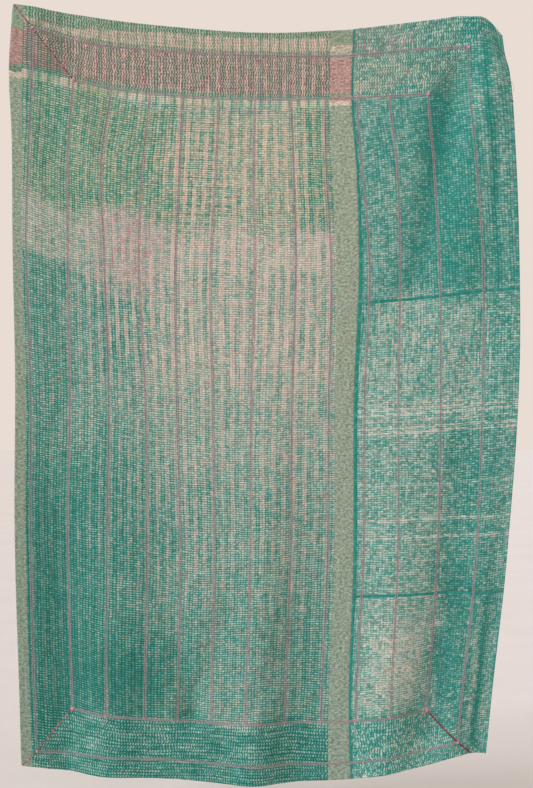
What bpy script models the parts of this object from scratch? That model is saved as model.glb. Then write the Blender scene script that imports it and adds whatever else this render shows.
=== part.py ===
"""A kantha quilt that hangs by its two upper corners, in metres with +Z up.

The face looks along -Y and the origin is the middle of the sagging top edge. A point of the
cloth is named by where it lies when the quilt is flat: across, from the left edge, and down,
from the top edge. The tables are in millimetres.
"""
import bpy
import numpy as np

MM = 0.001

# Driving dimensions, in metres
CLOTH_WIDTH = 1.536
CLOTH_LENGTH = 2.286
UPPER_JOIN = 0.824
LOWER_JOIN = 1.722
PUFFED_THICKNESS = 0.0038
STITCHED_THICKNESS = 0.0020
PILLOW_SLOPE = 0.035
HEM_WIDTH = 0.012
FOLDED_EDGE = 0.011
JOIN_GAP = 0.0004
LONGEST_COLUMN = 0.042
LONGEST_ROW = 0.065

# Sideways place of each stitched column of the hanging cloth, at eight depths down it
COLUMN_DOWN = (0, 204, 410, 705, 1120, 1610, 2108, 2286)
# name, across, sideways place at each depth
COLUMNS = (
    ("left edge", 0, -764, -776, -768, -766, -758, -759, -744, -738),
    ("outer left line", 46, -705, -705, -715, -724, -712, -711, -698, -689),
    ("inner left line", 167, -576, -580, -596, -598, -591, -598, -585, -581),
    ("line 2", 286, -464, -467, -494, -487, -472, -477, -479, -479),
    ("line 3", 397, -348, -348, -368, -381, -361, -356, -363, -366),
    ("line 4", 493, -247, -249, -256, -269, -265, -253, -262, -262),
    ("line 5", 602, -137, -138, -146, -162, -156, -150, -160, -162),
    ("line 6", 720, -26, -27, -31, -27, -38, -41, -56, -58),
    ("line 7", 844, 82, 83, 91, 97, 86, 80, 63, 61),
    ("line 8", 956, 186, 187, 190, 205, 198, 194, 174, 171),
    ("long join", 1033, 273, 267, 282, 290, 275, 273, 259, 264),
    ("line 9", 1065, 287, 283, 299, 322, 307, 303, 279, 281),
    ("line 10", 1168, 384, 383, 406, 415, 410, 407, 383, 378),
    ("inner right line", 1297, 506, 501, 519, 535, 539, 530, 499, 488),
    ("outer right line", 1427, 622, 629, 645, 667, 669, 649, 601, 586),
    ("right edge", 1536, 729, 755, 768, 778, 778, 744, 695, 680),
)

# Height of each row of the hanging cloth, at nine places across it
ROW_ACROSS = (0, 167, 493, 720, 1033, 1297, 1427, 1500, 1536)
# name, down, height at each place across
ROWS = (
    ("top edge", 0, 88, 56, 15, 0, 10, 38, 50, 39, -3),
    ("outer top line", 70, 27, -21, -60, -70, -70, -49, -44, -48, -70),
    ("inner top line", 204, -107, -146, -194, -203, -199, -186, -180, -177, -174),
    ("upper join", 824, -735, -770, -813, -821, -817, -797, -780, -775, -772),
    ("lower join", 1722, -1643, -1674, -1709, -1716, -1711, -1704, -1703, -1701, -1700),
    ("inner bottom line", 2108, -2037, -2063, -2095, -2101, -2096, -2070, -2056, -2050, -2047),
    ("outer bottom line", 2226, -2188, -2199, -2214, -2228, -2221, -2188, -2165, -2157, -2152),
    ("bottom edge", 2286, -2233, -2254, -2270, -2285, -2269, -2233, -2208, -2200, -2202),
)

# Soft ridges and hollows of the hanging cloth: a positive rise is towards the viewer
# name, from across, from down, to across, to down, spread, rise there, rise at the end
FOLDS = (
    ("belly", 700, 700, 760, 2286, 430, 6, 24),
    ("left corner", 0, 0, 0, 80, 50, -14, -8),
    ("left grip drag", 20, 20, 420, 700, 60, 18, 2),
    ("left grip hollow", 130, 60, 620, 420, 65, -13, -2),
    ("left edge drag", 40, 200, 90, 1300, 45, 9, 1),
    ("left low hollow", 120, 1100, 150, 2286, 65, -1, -22),
    ("left low ridge", 335, 900, 300, 2286, 88, 1, 22),
    ("left arm of the sag", 420, 1600, 540, 2080, 44, -2, -15),
    ("right arm of the sag", 670, 1700, 540, 2080, 38, -2, -13),
    ("middle ridge", 770, 1000, 745, 2286, 68, 1, 24),
    ("middle crease", 860, 1850, 750, 2040, 28, -2, -8),
    ("middle hollow", 905, 1100, 890, 2286, 74, -1, -22),
    ("right low ridge", 1185, 1000, 1150, 2286, 82, 2, 24),
    ("right side hollow", 1410, 1000, 1300, 2150, 72, -8, -30),
    ("right edge curl", 1536, 1100, 1510, 2286, 65, -6, -30),
    ("right grip hollow", 1400, 150, 1170, 900, 60, -20, -4),
    ("right grip drag", 1480, 120, 1330, 1000, 60, 18, 3),
    ("right corner", 1510, 0, 1536, 60, 42, -24, -20),
)

ACROSS = {row[0]: row[1] * MM for row in COLUMNS}
DOWN = {row[0]: row[1] * MM for row in ROWS}

# sRGB colours of the four cloths
CLOTH_COLOURS = {
    "left_panel": (0.42, 0.58, 0.50),
    "right_panel_top": (0.24, 0.55, 0.49),
    "right_panel_middle": (0.36, 0.60, 0.53),
    "right_panel_bottom": (0.48, 0.65, 0.58),
}


def smooth(at, knots, values):
    """Cubic through the values at the knots, with the slope at a knot taken from both sides."""
    knots = np.asarray(knots, float)
    values = np.asarray(values, float)
    slopes = np.gradient(values, knots, axis=0)
    low = np.clip(np.searchsorted(knots, at, side="right") - 1, 0, len(knots) - 2)
    span = (knots[low + 1] - knots[low])[:, None]
    part = (at - knots[low])[:, None] / span
    rise = part * part * (3.0 - 2.0 * part)
    lean = part * (1.0 - part)
    return (values[low] * (1.0 - rise) + values[low + 1] * rise
            + slopes[low] * span * lean * (1.0 - part)
            - slopes[low + 1] * span * lean * part)


def hat_weights(at, knots):
    """Share of each knot at each place, for straight runs between knots."""
    return np.stack([np.interp(at, knots, unit) for unit in np.eye(len(knots))], axis=1)


def along_and_gap(across, down, start, end):
    """How far along the run between two flat places each place lies, 0 to 1, and its gap."""
    start = np.asarray(start, float)
    run = np.asarray(end, float) - start
    offset = np.stack([across, down], axis=1) - start
    along = np.clip(offset @ run / (run @ run), 0.0, 1.0)
    return along, np.linalg.norm(offset - along[:, None] * run, axis=1)


def fold_rise(across, down):
    """Sum of the folds, each a soft bump round its run that fades with the distance squared."""
    rise = np.zeros_like(across)
    for _name, across_0, down_0, across_1, down_1, spread, first, last in FOLDS:
        start = (across_0 * MM, down_0 * MM)
        end = (across_1 * MM, down_1 * MM)
        along, gap = along_and_gap(across, down, start, end)
        height = first + (last - first) * along
        rise += height * MM * np.exp(-(gap / (spread * MM)) ** 2)
    return rise


def hung(across, down):
    """Where each flat place hangs: columns give its side, rows its height, folds its depth."""
    columns = np.array([row[2:] for row in COLUMNS], float).T * MM
    rows = np.array([row[2:] for row in ROWS], float) * MM
    column_across = np.array(list(ACROSS.values()))
    sideways = smooth(down, np.array(COLUMN_DOWN) * MM, columns)
    sideways = (sideways * hat_weights(across, column_across)).sum(axis=1)
    height = smooth(across, np.array(ROW_ACROSS) * MM, rows.T)
    height = (height * hat_weights(down, np.array(list(DOWN.values())))).sum(axis=1)
    return np.stack([sideways, -fold_rise(across, down), height], axis=1)


def stitched_lines():
    """Each stitched line on the flat cloth, as its two ends."""
    outer = (ACROSS["outer left line"], ACROSS["outer right line"],
             DOWN["outer top line"], DOWN["outer bottom line"])
    inner = (ACROSS["inner left line"], ACROSS["inner right line"],
             DOWN["inner top line"], DOWN["inner bottom line"])
    hem = (HEM_WIDTH, CLOTH_WIDTH - HEM_WIDTH, HEM_WIDTH, CLOTH_LENGTH - HEM_WIDTH)
    lines = []
    for left, right, top, bottom in (hem, outer, inner):
        corners = [(left, top), (right, top), (right, bottom), (left, bottom)]
        lines += list(zip(corners, corners[1:] + corners[:1]))
    for number in range(2, 11):
        across = ACROSS[f"line {number}"]
        lines.append(((across, inner[2]), (across, inner[3])))
    for side in (0, 1):
        for end in (2, 3):
            corner = (side * CLOTH_WIDTH, (end - 2) * CLOTH_LENGTH)
            lines.append((corner, (outer[side], outer[end])))
            lines.append(((outer[side], outer[end]), (inner[side], inner[end])))
    return lines


def padding(across, down):
    """0 on a stitched line and 1 on the cloth between, rising as a quarter round."""
    gaps = [along_and_gap(across, down, *line)[1] for line in stitched_lines()]
    share = np.clip(np.min(gaps, axis=0) / PILLOW_SLOPE, 0.0, 1.0)
    return np.sqrt(1.0 - (1.0 - share) ** 2)


def stations(knots, longest):
    """The knots, with each gap between them cut into equal steps no longer than longest."""
    places = [knots[0]]
    for low, high in zip(knots, knots[1:]):
        steps = int(np.ceil((high - low) / longest))
        places += [low + (high - low) * step / steps for step in range(1, steps + 1)]
    return np.array(places)


def between(knots, low, high):
    """The knots inside a span, with its two ends added."""
    inside = (knot for knot in knots if low + HEM_WIDTH / 2 < knot < high - HEM_WIDTH / 2)
    return [low] + sorted(inside) + [high]


def cloth_material(name):
    """Matt cotton in the panel's own colour."""
    material = bpy.data.materials.new(name + "_cotton")
    material.use_nodes = True
    shader = material.node_tree.nodes["Principled BSDF"]
    linear = [channel ** 2.2 for channel in CLOTH_COLOURS[name]]
    shader.inputs["Base Color"].default_value = (*linear, 1.0)
    shader.inputs["Roughness"].default_value = 0.9
    shader.inputs["Metallic"].default_value = 0.0
    return material


def add_panel(name, left, right, top, bottom, collection):
    """A panel of the quilt: a grid moved onto the hanging cloth, then made thick."""
    join = ACROSS["long join"]
    across_knots = list(ACROSS.values()) + [HEM_WIDTH, CLOTH_WIDTH - HEM_WIDTH]
    across_knots += [join - FOLDED_EDGE, join + FOLDED_EDGE]
    down_knots = list(DOWN.values()) + [HEM_WIDTH, CLOTH_LENGTH - HEM_WIDTH]
    down_knots += [UPPER_JOIN + FOLDED_EDGE, LOWER_JOIN + FOLDED_EDGE]
    columns = stations(between(across_knots, left, right), LONGEST_COLUMN)
    rows = stations(between(down_knots, top, bottom), LONGEST_ROW)

    bpy.ops.mesh.primitive_grid_add(
        x_subdivisions=len(columns) - 1, y_subdivisions=len(rows) - 1, size=1.0)
    panel = bpy.context.object
    panel.name = name
    panel.data.name = name
    flat = np.empty(len(panel.data.vertices) * 3, dtype=np.float32)
    panel.data.vertices.foreach_get("co", flat)
    flat = flat.reshape(-1, 3) + 0.5
    column = np.rint(flat[:, 0] * (len(columns) - 1)).astype(int)
    row = np.rint((1.0 - flat[:, 1]) * (len(rows) - 1)).astype(int)
    across, down = columns[column], rows[row]
    panel.data.vertices.foreach_set("co", hung(across, down).ravel())

    group = panel.vertex_groups.new(name="padding")
    for index, weight in enumerate(padding(across, down)):
        group.add([index], float(weight), "REPLACE")
    solidify = panel.modifiers.new("layers", "SOLIDIFY")
    solidify.thickness = PUFFED_THICKNESS
    solidify.offset = 0.0
    solidify.vertex_group = group.name
    solidify.thickness_vertex_group = STITCHED_THICKNESS / PUFFED_THICKNESS

    panel.data.materials.append(cloth_material(name))
    panel.data.shade_smooth()
    for owner in panel.users_collection:
        owner.objects.unlink(panel)
    collection.objects.link(panel)
    return panel


for old in list(bpy.data.objects):
    bpy.data.objects.remove(old, do_unlink=True)

quilt = bpy.data.collections.new("kantha_quilt")
bpy.context.scene.collection.children.link(quilt)

half_gap = JOIN_GAP / 2.0
left_side = ACROSS["long join"] - half_gap
right_side = ACROSS["long join"] + half_gap
add_panel("left_panel", 0.0, left_side, 0.0, CLOTH_LENGTH, quilt)
add_panel("right_panel_top", right_side, CLOTH_WIDTH, 0.0, UPPER_JOIN - half_gap, quilt)
add_panel("right_panel_middle", right_side, CLOTH_WIDTH,
          UPPER_JOIN + half_gap, LOWER_JOIN - half_gap, quilt)
add_panel("right_panel_bottom", right_side, CLOTH_WIDTH,
          LOWER_JOIN + half_gap, CLOTH_LENGTH, quilt)
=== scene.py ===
"""A kantha quilt that hangs by its two upper corners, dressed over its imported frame, in metres.

A point of the cloth is named by where it lies when the quilt is flat: across, from the left
edge, and down, from the top edge. The tables are in millimetres unless they say otherwise.
"""

import bpy
import numpy as np
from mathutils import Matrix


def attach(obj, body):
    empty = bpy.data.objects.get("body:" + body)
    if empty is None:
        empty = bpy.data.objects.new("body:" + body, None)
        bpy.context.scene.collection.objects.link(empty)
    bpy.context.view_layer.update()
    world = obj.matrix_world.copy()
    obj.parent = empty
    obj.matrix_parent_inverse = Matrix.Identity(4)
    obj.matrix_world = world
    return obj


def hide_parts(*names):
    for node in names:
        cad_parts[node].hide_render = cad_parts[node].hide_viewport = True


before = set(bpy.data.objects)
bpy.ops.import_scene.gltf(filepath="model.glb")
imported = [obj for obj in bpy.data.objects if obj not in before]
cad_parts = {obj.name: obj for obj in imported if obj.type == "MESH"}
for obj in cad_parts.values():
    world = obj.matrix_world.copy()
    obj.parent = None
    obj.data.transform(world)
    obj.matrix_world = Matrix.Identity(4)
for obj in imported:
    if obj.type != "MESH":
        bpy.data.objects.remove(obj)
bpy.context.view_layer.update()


# ---- The left cloth -------------------------------------------------------------------------
# One long width of an old green cotton sari: a pink and cream band is woven across its head, a
# plain strip down each side and cream stripes between. It is layered and hand quilted in close
# rows, dyed over in teal, and worn pale on the puckers. It hangs from the two upper corners.
MM = 0.001
CLOTH_WIDTH = 1.536
CLOTH_LENGTH = 2.286
# The cloth is this thick between the stitched lines and on them, and swells over this distance
PUFFED_THICKNESS = 0.0038
STITCHED_THICKNESS = 0.0020
PILLOW_SLOPE = 0.035
HEM_WIDTH = 0.012
FOLDED_EDGE = 0.011
JOIN_GAP = 0.0004
UPPER_JOIN = 0.824
LOWER_JOIN = 1.722
GRID_STEP = 0.008

# Sideways place of each stitched column of the hanging cloth, at eight depths down it
COLUMN_DOWN = (0, 204, 410, 705, 1120, 1610, 2108, 2286)
# name, across, sideways place at each depth
COLUMNS = (
    ("left edge", 0, -764, -776, -768, -766, -758, -759, -744, -738),
    ("outer left line", 46, -705, -705, -715, -724, -712, -711, -698, -689),
    ("inner left line", 167, -576, -580, -596, -598, -591, -598, -585, -581),
    ("line 2", 286, -464, -467, -494, -487, -472, -477, -479, -479),
    ("line 3", 397, -348, -348, -368, -381, -361, -356, -363, -366),
    ("line 4", 493, -247, -249, -256, -269, -265, -253, -262, -262),
    ("line 5", 602, -137, -138, -146, -162, -156, -150, -160, -162),
    ("line 6", 720, -26, -27, -31, -27, -38, -41, -56, -58),
    ("line 7", 844, 82, 83, 91, 97, 86, 80, 63, 61),
    ("line 8", 956, 186, 187, 190, 205, 198, 194, 174, 171),
    ("long join", 1033, 273, 267, 282, 290, 275, 273, 259, 264),
    ("line 9", 1065, 287, 283, 299, 322, 307, 303, 279, 281),
    ("line 10", 1168, 384, 383, 406, 415, 410, 407, 383, 378),
    ("inner right line", 1297, 506, 501, 519, 535, 539, 530, 499, 488),
    ("outer right line", 1427, 622, 629, 645, 667, 669, 649, 601, 586),
    ("right edge", 1536, 729, 755, 768, 778, 778, 744, 695, 680),
)

# Height of each stitched row of the hanging cloth, at nine places across it
ROW_ACROSS = (0, 167, 493, 720, 1033, 1297, 1427, 1500, 1536)
# name, down, height at each place across
ROWS = (
    ("top edge", 0, 88, 56, 15, 0, 10, 38, 50, 39, -3),
    ("outer top line", 70, 27, -21, -60, -70, -70, -49, -44, -48, -70),
    ("inner top line", 204, -107, -146, -194, -203, -199, -186, -180, -177, -174),
    ("upper join", 824, -735, -770, -813, -821, -817, -797, -780, -775, -772),
    ("lower join", 1722, -1643, -1674, -1709, -1716, -1711, -1704, -1703, -1701, -1700),
    ("inner bottom line", 2108, -2037, -2063, -2095, -2101, -2096, -2070, -2056, -2050, -2047),
    ("outer bottom line", 2226, -2188, -2199, -2214, -2228, -2221, -2188, -2165, -2157, -2152),
    ("bottom edge", 2286, -2233, -2254, -2270, -2285, -2269, -2233, -2208, -2200, -2202),
)

# name, from across, from down, to across, to down, spread, rise there, rise at the end
FOLDS = (
    ("belly", 700, 700, 760, 2286, 430, 6, 24),
    ("left corner", 0, 0, 0, 80, 50, -14, -8),
    ("left grip drag", 20, 20, 420, 700, 60, 18, 2),
    ("left grip hollow", 130, 60, 620, 420, 65, -13, -2),
    ("left edge drag", 40, 200, 90, 1300, 45, 9, 1),
    ("left low hollow", 120, 1100, 150, 2286, 65, -1, -22),
    ("left low ridge", 335, 900, 300, 2286, 88, 1, 22),
    ("left arm of the sag", 420, 1600, 540, 2080, 44, -2, -15),
    ("right arm of the sag", 670, 1700, 540, 2080, 38, -2, -13),
    ("middle ridge", 770, 1000, 745, 2286, 68, 1, 24),
    ("middle crease", 860, 1850, 750, 2040, 28, -2, -8),
    ("middle hollow", 905, 1100, 890, 2286, 74, -1, -22),
    ("right low ridge", 1185, 1000, 1150, 2286, 82, 2, 24),
    ("right side hollow", 1410, 1000, 1300, 2150, 72, -8, -30),
    ("right edge curl", 1536, 1100, 1510, 2286, 65, -6, -30),
    ("right grip hollow", 1400, 150, 1170, 900, 60, -20, -4),
    ("right grip drag", 1480, 120, 1330, 1000, 60, 18, 3),
    ("right corner", 1510, 0, 1536, 60, 42, -24, -20),
)

# Small slack between the rows: size, length of a wave across, and down, and its start in turns
SLACK = (
    ("between the rows", 0.50, 47, 420, 0.1),
    ("long ripples", 0.45, -600, 61, 0.7),
    ("crossing ripples", 0.40, 83, 97, 0.4),
    ("close ripples", 0.30, 210, 33, 0.9),
    ("close rows", 0.25, 29, -260, 0.3),
)
# How the hand sewn rows sway sideways and the puckers drift along them, in the same columns
ROW_SWAY = (
    ("slow", 1.3, 1450, 470, 0.0),
    ("quick", 0.7, -390, 145, 0.3),
)
PUCKER_DRIFT = (
    ("slow", 5.0, 730, 2100, 0.2),
    ("middle", 1.8, -310, 900, 0.6),
    ("quick", 0.7, 118, 530, 0.9),
)

# How the sides of a worn patch wander
WANDER = (
    ("slow", 18.0, 610, 330, 0.2),
    ("middle", 10.0, -170, 260, 0.5),
    ("quick", 6.0, 74, 390, 0.8),
)

# The hand sewn rows are this far apart, and their puckers in the field and in the end borders
ROW_SPACING = 0.0092
PUCKER_PITCH = 0.0068
BORDER_PUCKER_PITCH = 0.0082

ACROSS = {row[0]: row[1] * MM for row in COLUMNS}
DOWN = {row[0]: row[1] * MM for row in ROWS}
LONG_JOIN = ACROSS["long join"]


def smooth(at, knots, values):
    """Cubic through the values at the knots, with the slope at a knot taken from both sides."""
    knots = np.asarray(knots, float)
    values = np.asarray(values, float)
    slopes = np.gradient(values, knots, axis=0)
    low = np.clip(np.searchsorted(knots, at, side="right") - 1, 0, len(knots) - 2)
    span = (knots[low + 1] - knots[low])[:, None]
    part = (at - knots[low])[:, None] / span
    rise = part * part * (3.0 - 2.0 * part)
    lean = part * (1.0 - part)
    return (values[low] * (1.0 - rise) + values[low + 1] * rise
            + slopes[low] * span * lean * (1.0 - part) - slopes[low + 1] * span * lean * part)


def hat_weights(at, knots):
    """Share of each knot at each place, for straight runs between knots."""
    return np.stack([np.interp(at, knots, unit) for unit in np.eye(len(knots))], axis=1)


def along_and_gap(across, down, start, end):
    """How far along the run between two flat places each place lies, 0 to 1, and its gap."""
    start = np.asarray(start, float)
    run = np.asarray(end, float) - start
    offset = np.stack([across, down], axis=1) - start
    along = np.clip(offset @ run / (run @ run), 0.0, 1.0)
    return along, np.linalg.norm(offset - along[:, None] * run, axis=1)


def fold_rise(across, down):
    """Sum of the folds, each a soft bump round its run that fades with the distance squared."""
    rise = np.zeros_like(across)
    for _name, across_0, down_0, across_1, down_1, spread, first, last in FOLDS:
        start = (across_0 * MM, down_0 * MM)
        end = (across_1 * MM, down_1 * MM)
        along, gap = along_and_gap(across, down, start, end)
        height = first + (last - first) * along
        rise += height * MM * np.exp(-(gap / (spread * MM)) ** 2)
    return rise


def hung(across, down):
    """Where each flat place hangs: columns give its side, rows its height, folds its depth."""
    columns = np.array([row[2:] for row in COLUMNS], float).T * MM
    rows = np.array([row[2:] for row in ROWS], float) * MM
    column_across = np.array(list(ACROSS.values()))
    sideways = smooth(down, np.array(COLUMN_DOWN) * MM, columns)
    sideways = (sideways * hat_weights(across, column_across)).sum(axis=1)
    height = smooth(across, np.array(ROW_ACROSS) * MM, rows.T)
    height = (height * hat_weights(down, np.array(list(DOWN.values())))).sum(axis=1)
    return np.stack([sideways, -fold_rise(across, down), height], axis=1)


def waves(across, down, table):
    """Sum of slanting waves: size times the sine of the turns made across and down."""
    total = np.zeros_like(across)
    for _name, size, across_wave, down_wave, start in table:
        turns = across / (across_wave * MM) + down / (down_wave * MM) + start
        total += size * MM * np.sin(2.0 * np.pi * turns)
    return total


def frame_rectangles():
    """The hem line and the two stitched frames, each as left, right, top and bottom."""
    hem = (HEM_WIDTH, CLOTH_WIDTH - HEM_WIDTH, HEM_WIDTH, CLOTH_LENGTH - HEM_WIDTH)
    outer = (ACROSS["outer left line"], ACROSS["outer right line"],
             DOWN["outer top line"], DOWN["outer bottom line"])
    inner = (ACROSS["inner left line"], ACROSS["inner right line"],
             DOWN["inner top line"], DOWN["inner bottom line"])
    return hem, outer, inner


def rectangle_runs(left, right, top, bottom):
    """The four sides of a rectangle, each as its two ends."""
    corners = [(left, top), (right, top), (right, bottom), (left, bottom)]
    return list(zip(corners, corners[1:] + corners[:1]))


def field_runs():
    """The nine stitched lines down the field, each as its two ends."""
    _hem, _outer, inner = frame_rectangles()
    return [((ACROSS[f"line {number}"], inner[2]), (ACROSS[f"line {number}"], inner[3]))
            for number in range(2, 11)]


def mitre_runs(side, end):
    """The two runs of a mitre, from the quilt's corner to the outer and the inner frame's."""
    _hem, outer, inner = frame_rectangles()
    corner = (side * CLOTH_WIDTH, end * CLOTH_LENGTH)
    outer_corner = (outer[side], outer[2 + end])
    return [(corner, outer_corner), (outer_corner, (inner[side], inner[2 + end]))]


def stitched_runs():
    """Every stitched line of the quilt on the flat cloth."""
    runs = field_runs()
    for rectangle in frame_rectangles():
        runs += rectangle_runs(*rectangle)
    for side in (0, 1):
        for end in (0, 1):
            runs += mitre_runs(side, end)
    return runs


def line_gap(across, down, runs):
    """Distance on the flat cloth from each place to the nearest of some runs."""
    return np.min([along_and_gap(across, down, *run)[1] for run in runs], axis=0)


# Half the distance over which a slope of the cloth is taken
SLOPE_STEP = 0.0005


def surface(across, down, side=1.0):
    """Places and outward normals on the front (side 1) or back (side -1) of the quilt.

    Half the thickness is laid off along the normal of the hanging middle layer. It grows from
    a stitched line as a quarter round, with the slack's small waves added on both sides, and
    dips into the seams beside the folded edges.
    """
    places = hung(across, down)
    along_across = hung(across + SLOPE_STEP, down) - hung(across - SLOPE_STEP, down)
    along_down = hung(across, down + SLOPE_STEP) - hung(across, down - SLOPE_STEP)
    normals = np.cross(along_down, along_across)
    normals /= np.linalg.norm(normals, axis=1)[:, None]
    share = np.clip(line_gap(across, down, stitched_runs()) / PILLOW_SLOPE, 0.0, 1.0)
    padded = np.sqrt(1.0 - (1.0 - share) ** 2)
    half = 0.5 * (STITCHED_THICKNESS + (PUFFED_THICKNESS - STITCHED_THICKNESS) * padded)
    half += seam_relief(across, down) if side > 0 else 0.0
    level = side * half + waves(across, down, SLACK) * padded
    return places + normals * level[:, None], normals * side


# Height of the folded edge's ridge, and depth of the valleys before and behind it
SEAM_RIDGE = 0.0007
SEAM_VALLEYS = (0.0005, 0.0004)


def seam_relief(across, down):
    """A folded edge stands up by a layer as a flat ridge, with a narrow valley on each side.

    The ridge falls off with the fourth power of the distance from its middle, and each valley
    with the square.
    """
    relief = np.zeros_like(across)
    for place, start, active in ((across, LONG_JOIN, np.ones(len(across), bool)),
                                 (down, UPPER_JOIN, across > LONG_JOIN),
                                 (down, LOWER_JOIN, across > LONG_JOIN)):
        offset = place - start
        ridge = SEAM_RIDGE * np.exp(-((offset - 0.5 * FOLDED_EDGE) / (0.42 * FOLDED_EDGE)) ** 4)
        valley = SEAM_VALLEYS[0] * np.exp(-(offset / 0.002) ** 2)
        valley += SEAM_VALLEYS[1] * np.exp(-((offset - 1.15 * FOLDED_EDGE) / 0.003) ** 2)
        relief += np.where(active, ridge - valley, 0.0)
    return relief


def inside_turned_border(across, down):
    """How deep each place lies in the top or bottom border, where the rows run across.

    The border ends at the mitres: the smaller of the depth below the inner line and the
    distance from the mitre, which is found by the place's share of both borders.
    """
    _hem, outer, inner = frame_rectangles()
    side, end = (np.minimum(
        np.interp(place, (0.0, outer[low], inner[low]), (0.0, 1.0, 2.0)),
        np.interp(length - place, (0.0, length - outer[low + 1], length - inner[low + 1]),
                  (0.0, 1.0, 2.0)))
        for place, length, low in ((across, CLOTH_WIDTH, 0), (down, CLOTH_LENGTH, 2)))
    from_line = np.maximum(inner[2] - down, down - inner[3])
    return np.minimum(from_line, 0.1 * (side - end) + 0.1 * (side >= 2.0) * (end < 2.0))


def stitch_place(across, down):
    """Where each place lies among the rows and the puckers, once sway and drift are added."""
    return (across + waves(across, down, ROW_SWAY), down + waves(across, down, PUCKER_DRIFT))


def painted(across, down, table):
    """Soft oblong patches laid one over another, each drawing the values to its own.

    A patch's cover is the product of four smooth steps at its sides, as wide as its softness,
    and its sides wander by a sum of waves.
    """
    values = np.zeros((len(across), len(table[0]) - 6))
    across, down = (across + waves(across, down, WANDER), down + waves(down, across, WANDER))
    for _name, left, right, top, bottom, soft, *target in table:
        cover = np.ones_like(across)
        for inward in (across - left * MM, right * MM - across,
                       down - top * MM, bottom * MM - down):
            step = np.clip(inward / (soft * MM) * 0.5 + 0.5, 0.0, 1.0)
            cover *= step * step * (3.0 - 2.0 * step)
        values += (np.array(target) - values) * cover[:, None]
    return values


def fold_light_shade_and_stripes(across, down, table):
    """Painted light on fold ridges and painted shade in fold hollows, as more and less wear and as
    dye, with lines down the right border: runs that fade with the distance squared, summed.
    """
    wear, dye = np.zeros((2, len(across)))
    across = across + 0.12 * waves(across, down, WANDER)
    for _name, across_0, down_0, across_1, down_1, spread, first, last, deep in table:
        along, gap = along_and_gap(across, down, (across_0 * MM, down_0 * MM),
                                   (across_1 * MM, down_1 * MM))
        cover = np.exp(-(gap / (spread * MM)) ** 2)
        wear += (first + (last - first) * along) * cover
        dye += deep * cover
    return wear, dye


# Grid lines beside a join, in mm from it, and inside a free edge
JOIN_LINES = (-6, -2, 2, 5, 9, 12, 15)
EDGE_LINE = 0.004


def grid_lines(lines, length, joins, low, high):
    """Grid lines from low to high: on the stitched lines, by the joins and edges, and between.

    Each gap is cut into equal steps no longer than the grid step.
    """
    knots = [*lines, EDGE_LINE, HEM_WIDTH, length - HEM_WIDTH, length - EDGE_LINE]
    knots += [join + offset * MM for join in joins for offset in JOIN_LINES]
    knots = [low, *sorted(knot for knot in knots if low + MM < knot < high - MM), high]
    places = [low]
    for start, end in zip(knots, knots[1:]):
        steps = int(np.ceil((end - start) / GRID_STEP))
        places += [start + (end - start) * step / steps for step in range(1, steps + 1)]
    return np.array(places)


def mesh_piece(name, points, faces, uv=None):
    """A mesh object from whole arrays: points, faces of one size, and a UV for each corner."""
    mesh = bpy.data.meshes.new(name)
    mesh.vertices.add(len(points))
    mesh.vertices.foreach_set("co", np.ascontiguousarray(points, np.float32).ravel())
    mesh.loops.add(faces.size)
    mesh.loops.foreach_set("vertex_index", faces.astype(np.int32).ravel())
    mesh.polygons.add(len(faces))
    mesh.polygons.foreach_set("loop_start", np.arange(len(faces), dtype=np.int32) * faces.shape[1])
    mesh.update(calc_edges=True)
    mesh.shade_smooth()
    if uv is not None:
        layer = mesh.uv_layers.new(name="OFBake")
        layer.data.foreach_set("uv", np.ascontiguousarray(uv, np.float32).ravel())
    piece = bpy.data.objects.new(name, mesh)
    bpy.context.scene.collection.objects.link(piece)
    return piece


def store(piece, name, columns):
    """Keeps up to three numbers for each point under a name that a material reads."""
    values = np.zeros((len(piece.data.vertices), 3), np.float32)
    for place, column in enumerate(columns):
        values[:, place] = column
    piece.data.attributes.new(name, "FLOAT_VECTOR", "POINT").data.foreach_set(
        "vector", values.ravel())


# The grids of each finished sheet: columns, rows, front points, back points, outward normals
CLOTHS = []


def on_cloth(across, down, side=1.0):
    """Places and outward normals on the finished sheets, straight between their grid points.

    Each is the mix of a cell's four corners by the shares across and down it, and a place
    beyond an edge carries on straight from the last cell.
    """
    owner = np.where(across < LONG_JOIN, 0,
                     1 + (down > UPPER_JOIN).astype(int) + (down > LOWER_JOIN).astype(int))
    places, normals = np.zeros((2, len(across), 3))
    for number, (columns, rows, front, back, outward) in enumerate(CLOTHS):
        here = owner == number
        column = np.clip(np.searchsorted(columns, across[here]) - 1, 0, len(columns) - 2)
        row = np.clip(np.searchsorted(rows, down[here]) - 1, 0, len(rows) - 2)
        share_across = (across[here] - columns[column]) / (columns[column + 1] - columns[column])
        share_down = (down[here] - rows[row]) / (rows[row + 1] - rows[row])
        share_across, share_down = share_across[:, None], share_down[:, None]
        for grid, found in ((front if side > 0 else back, places), (outward, normals)):
            upper = grid[row, column] * (1 - share_across) + grid[row, column + 1] * share_across
            lower = (grid[row + 1, column] * (1 - share_across)
                     + grid[row + 1, column + 1] * share_across)
            found[here] = upper * (1 - share_down) + lower * share_down
    return places, side * normals / np.linalg.norm(normals, axis=1)[:, None]


# How far the rim of a free edge stands out, and where the front, the back and the two strips
# of the rim lie on a sheet's map: the start and the width of each
FREE_RIM = 0.0011
FRONT_MAP = (0.002, 0.596)
BACK_MAP = (0.602, 0.366)
RIM_MAP = (0.972, 0.013)
# Depth in metres at which a stripe's sideways place is the one that it is woven at
WOVEN_DOWN = 0.25


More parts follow.
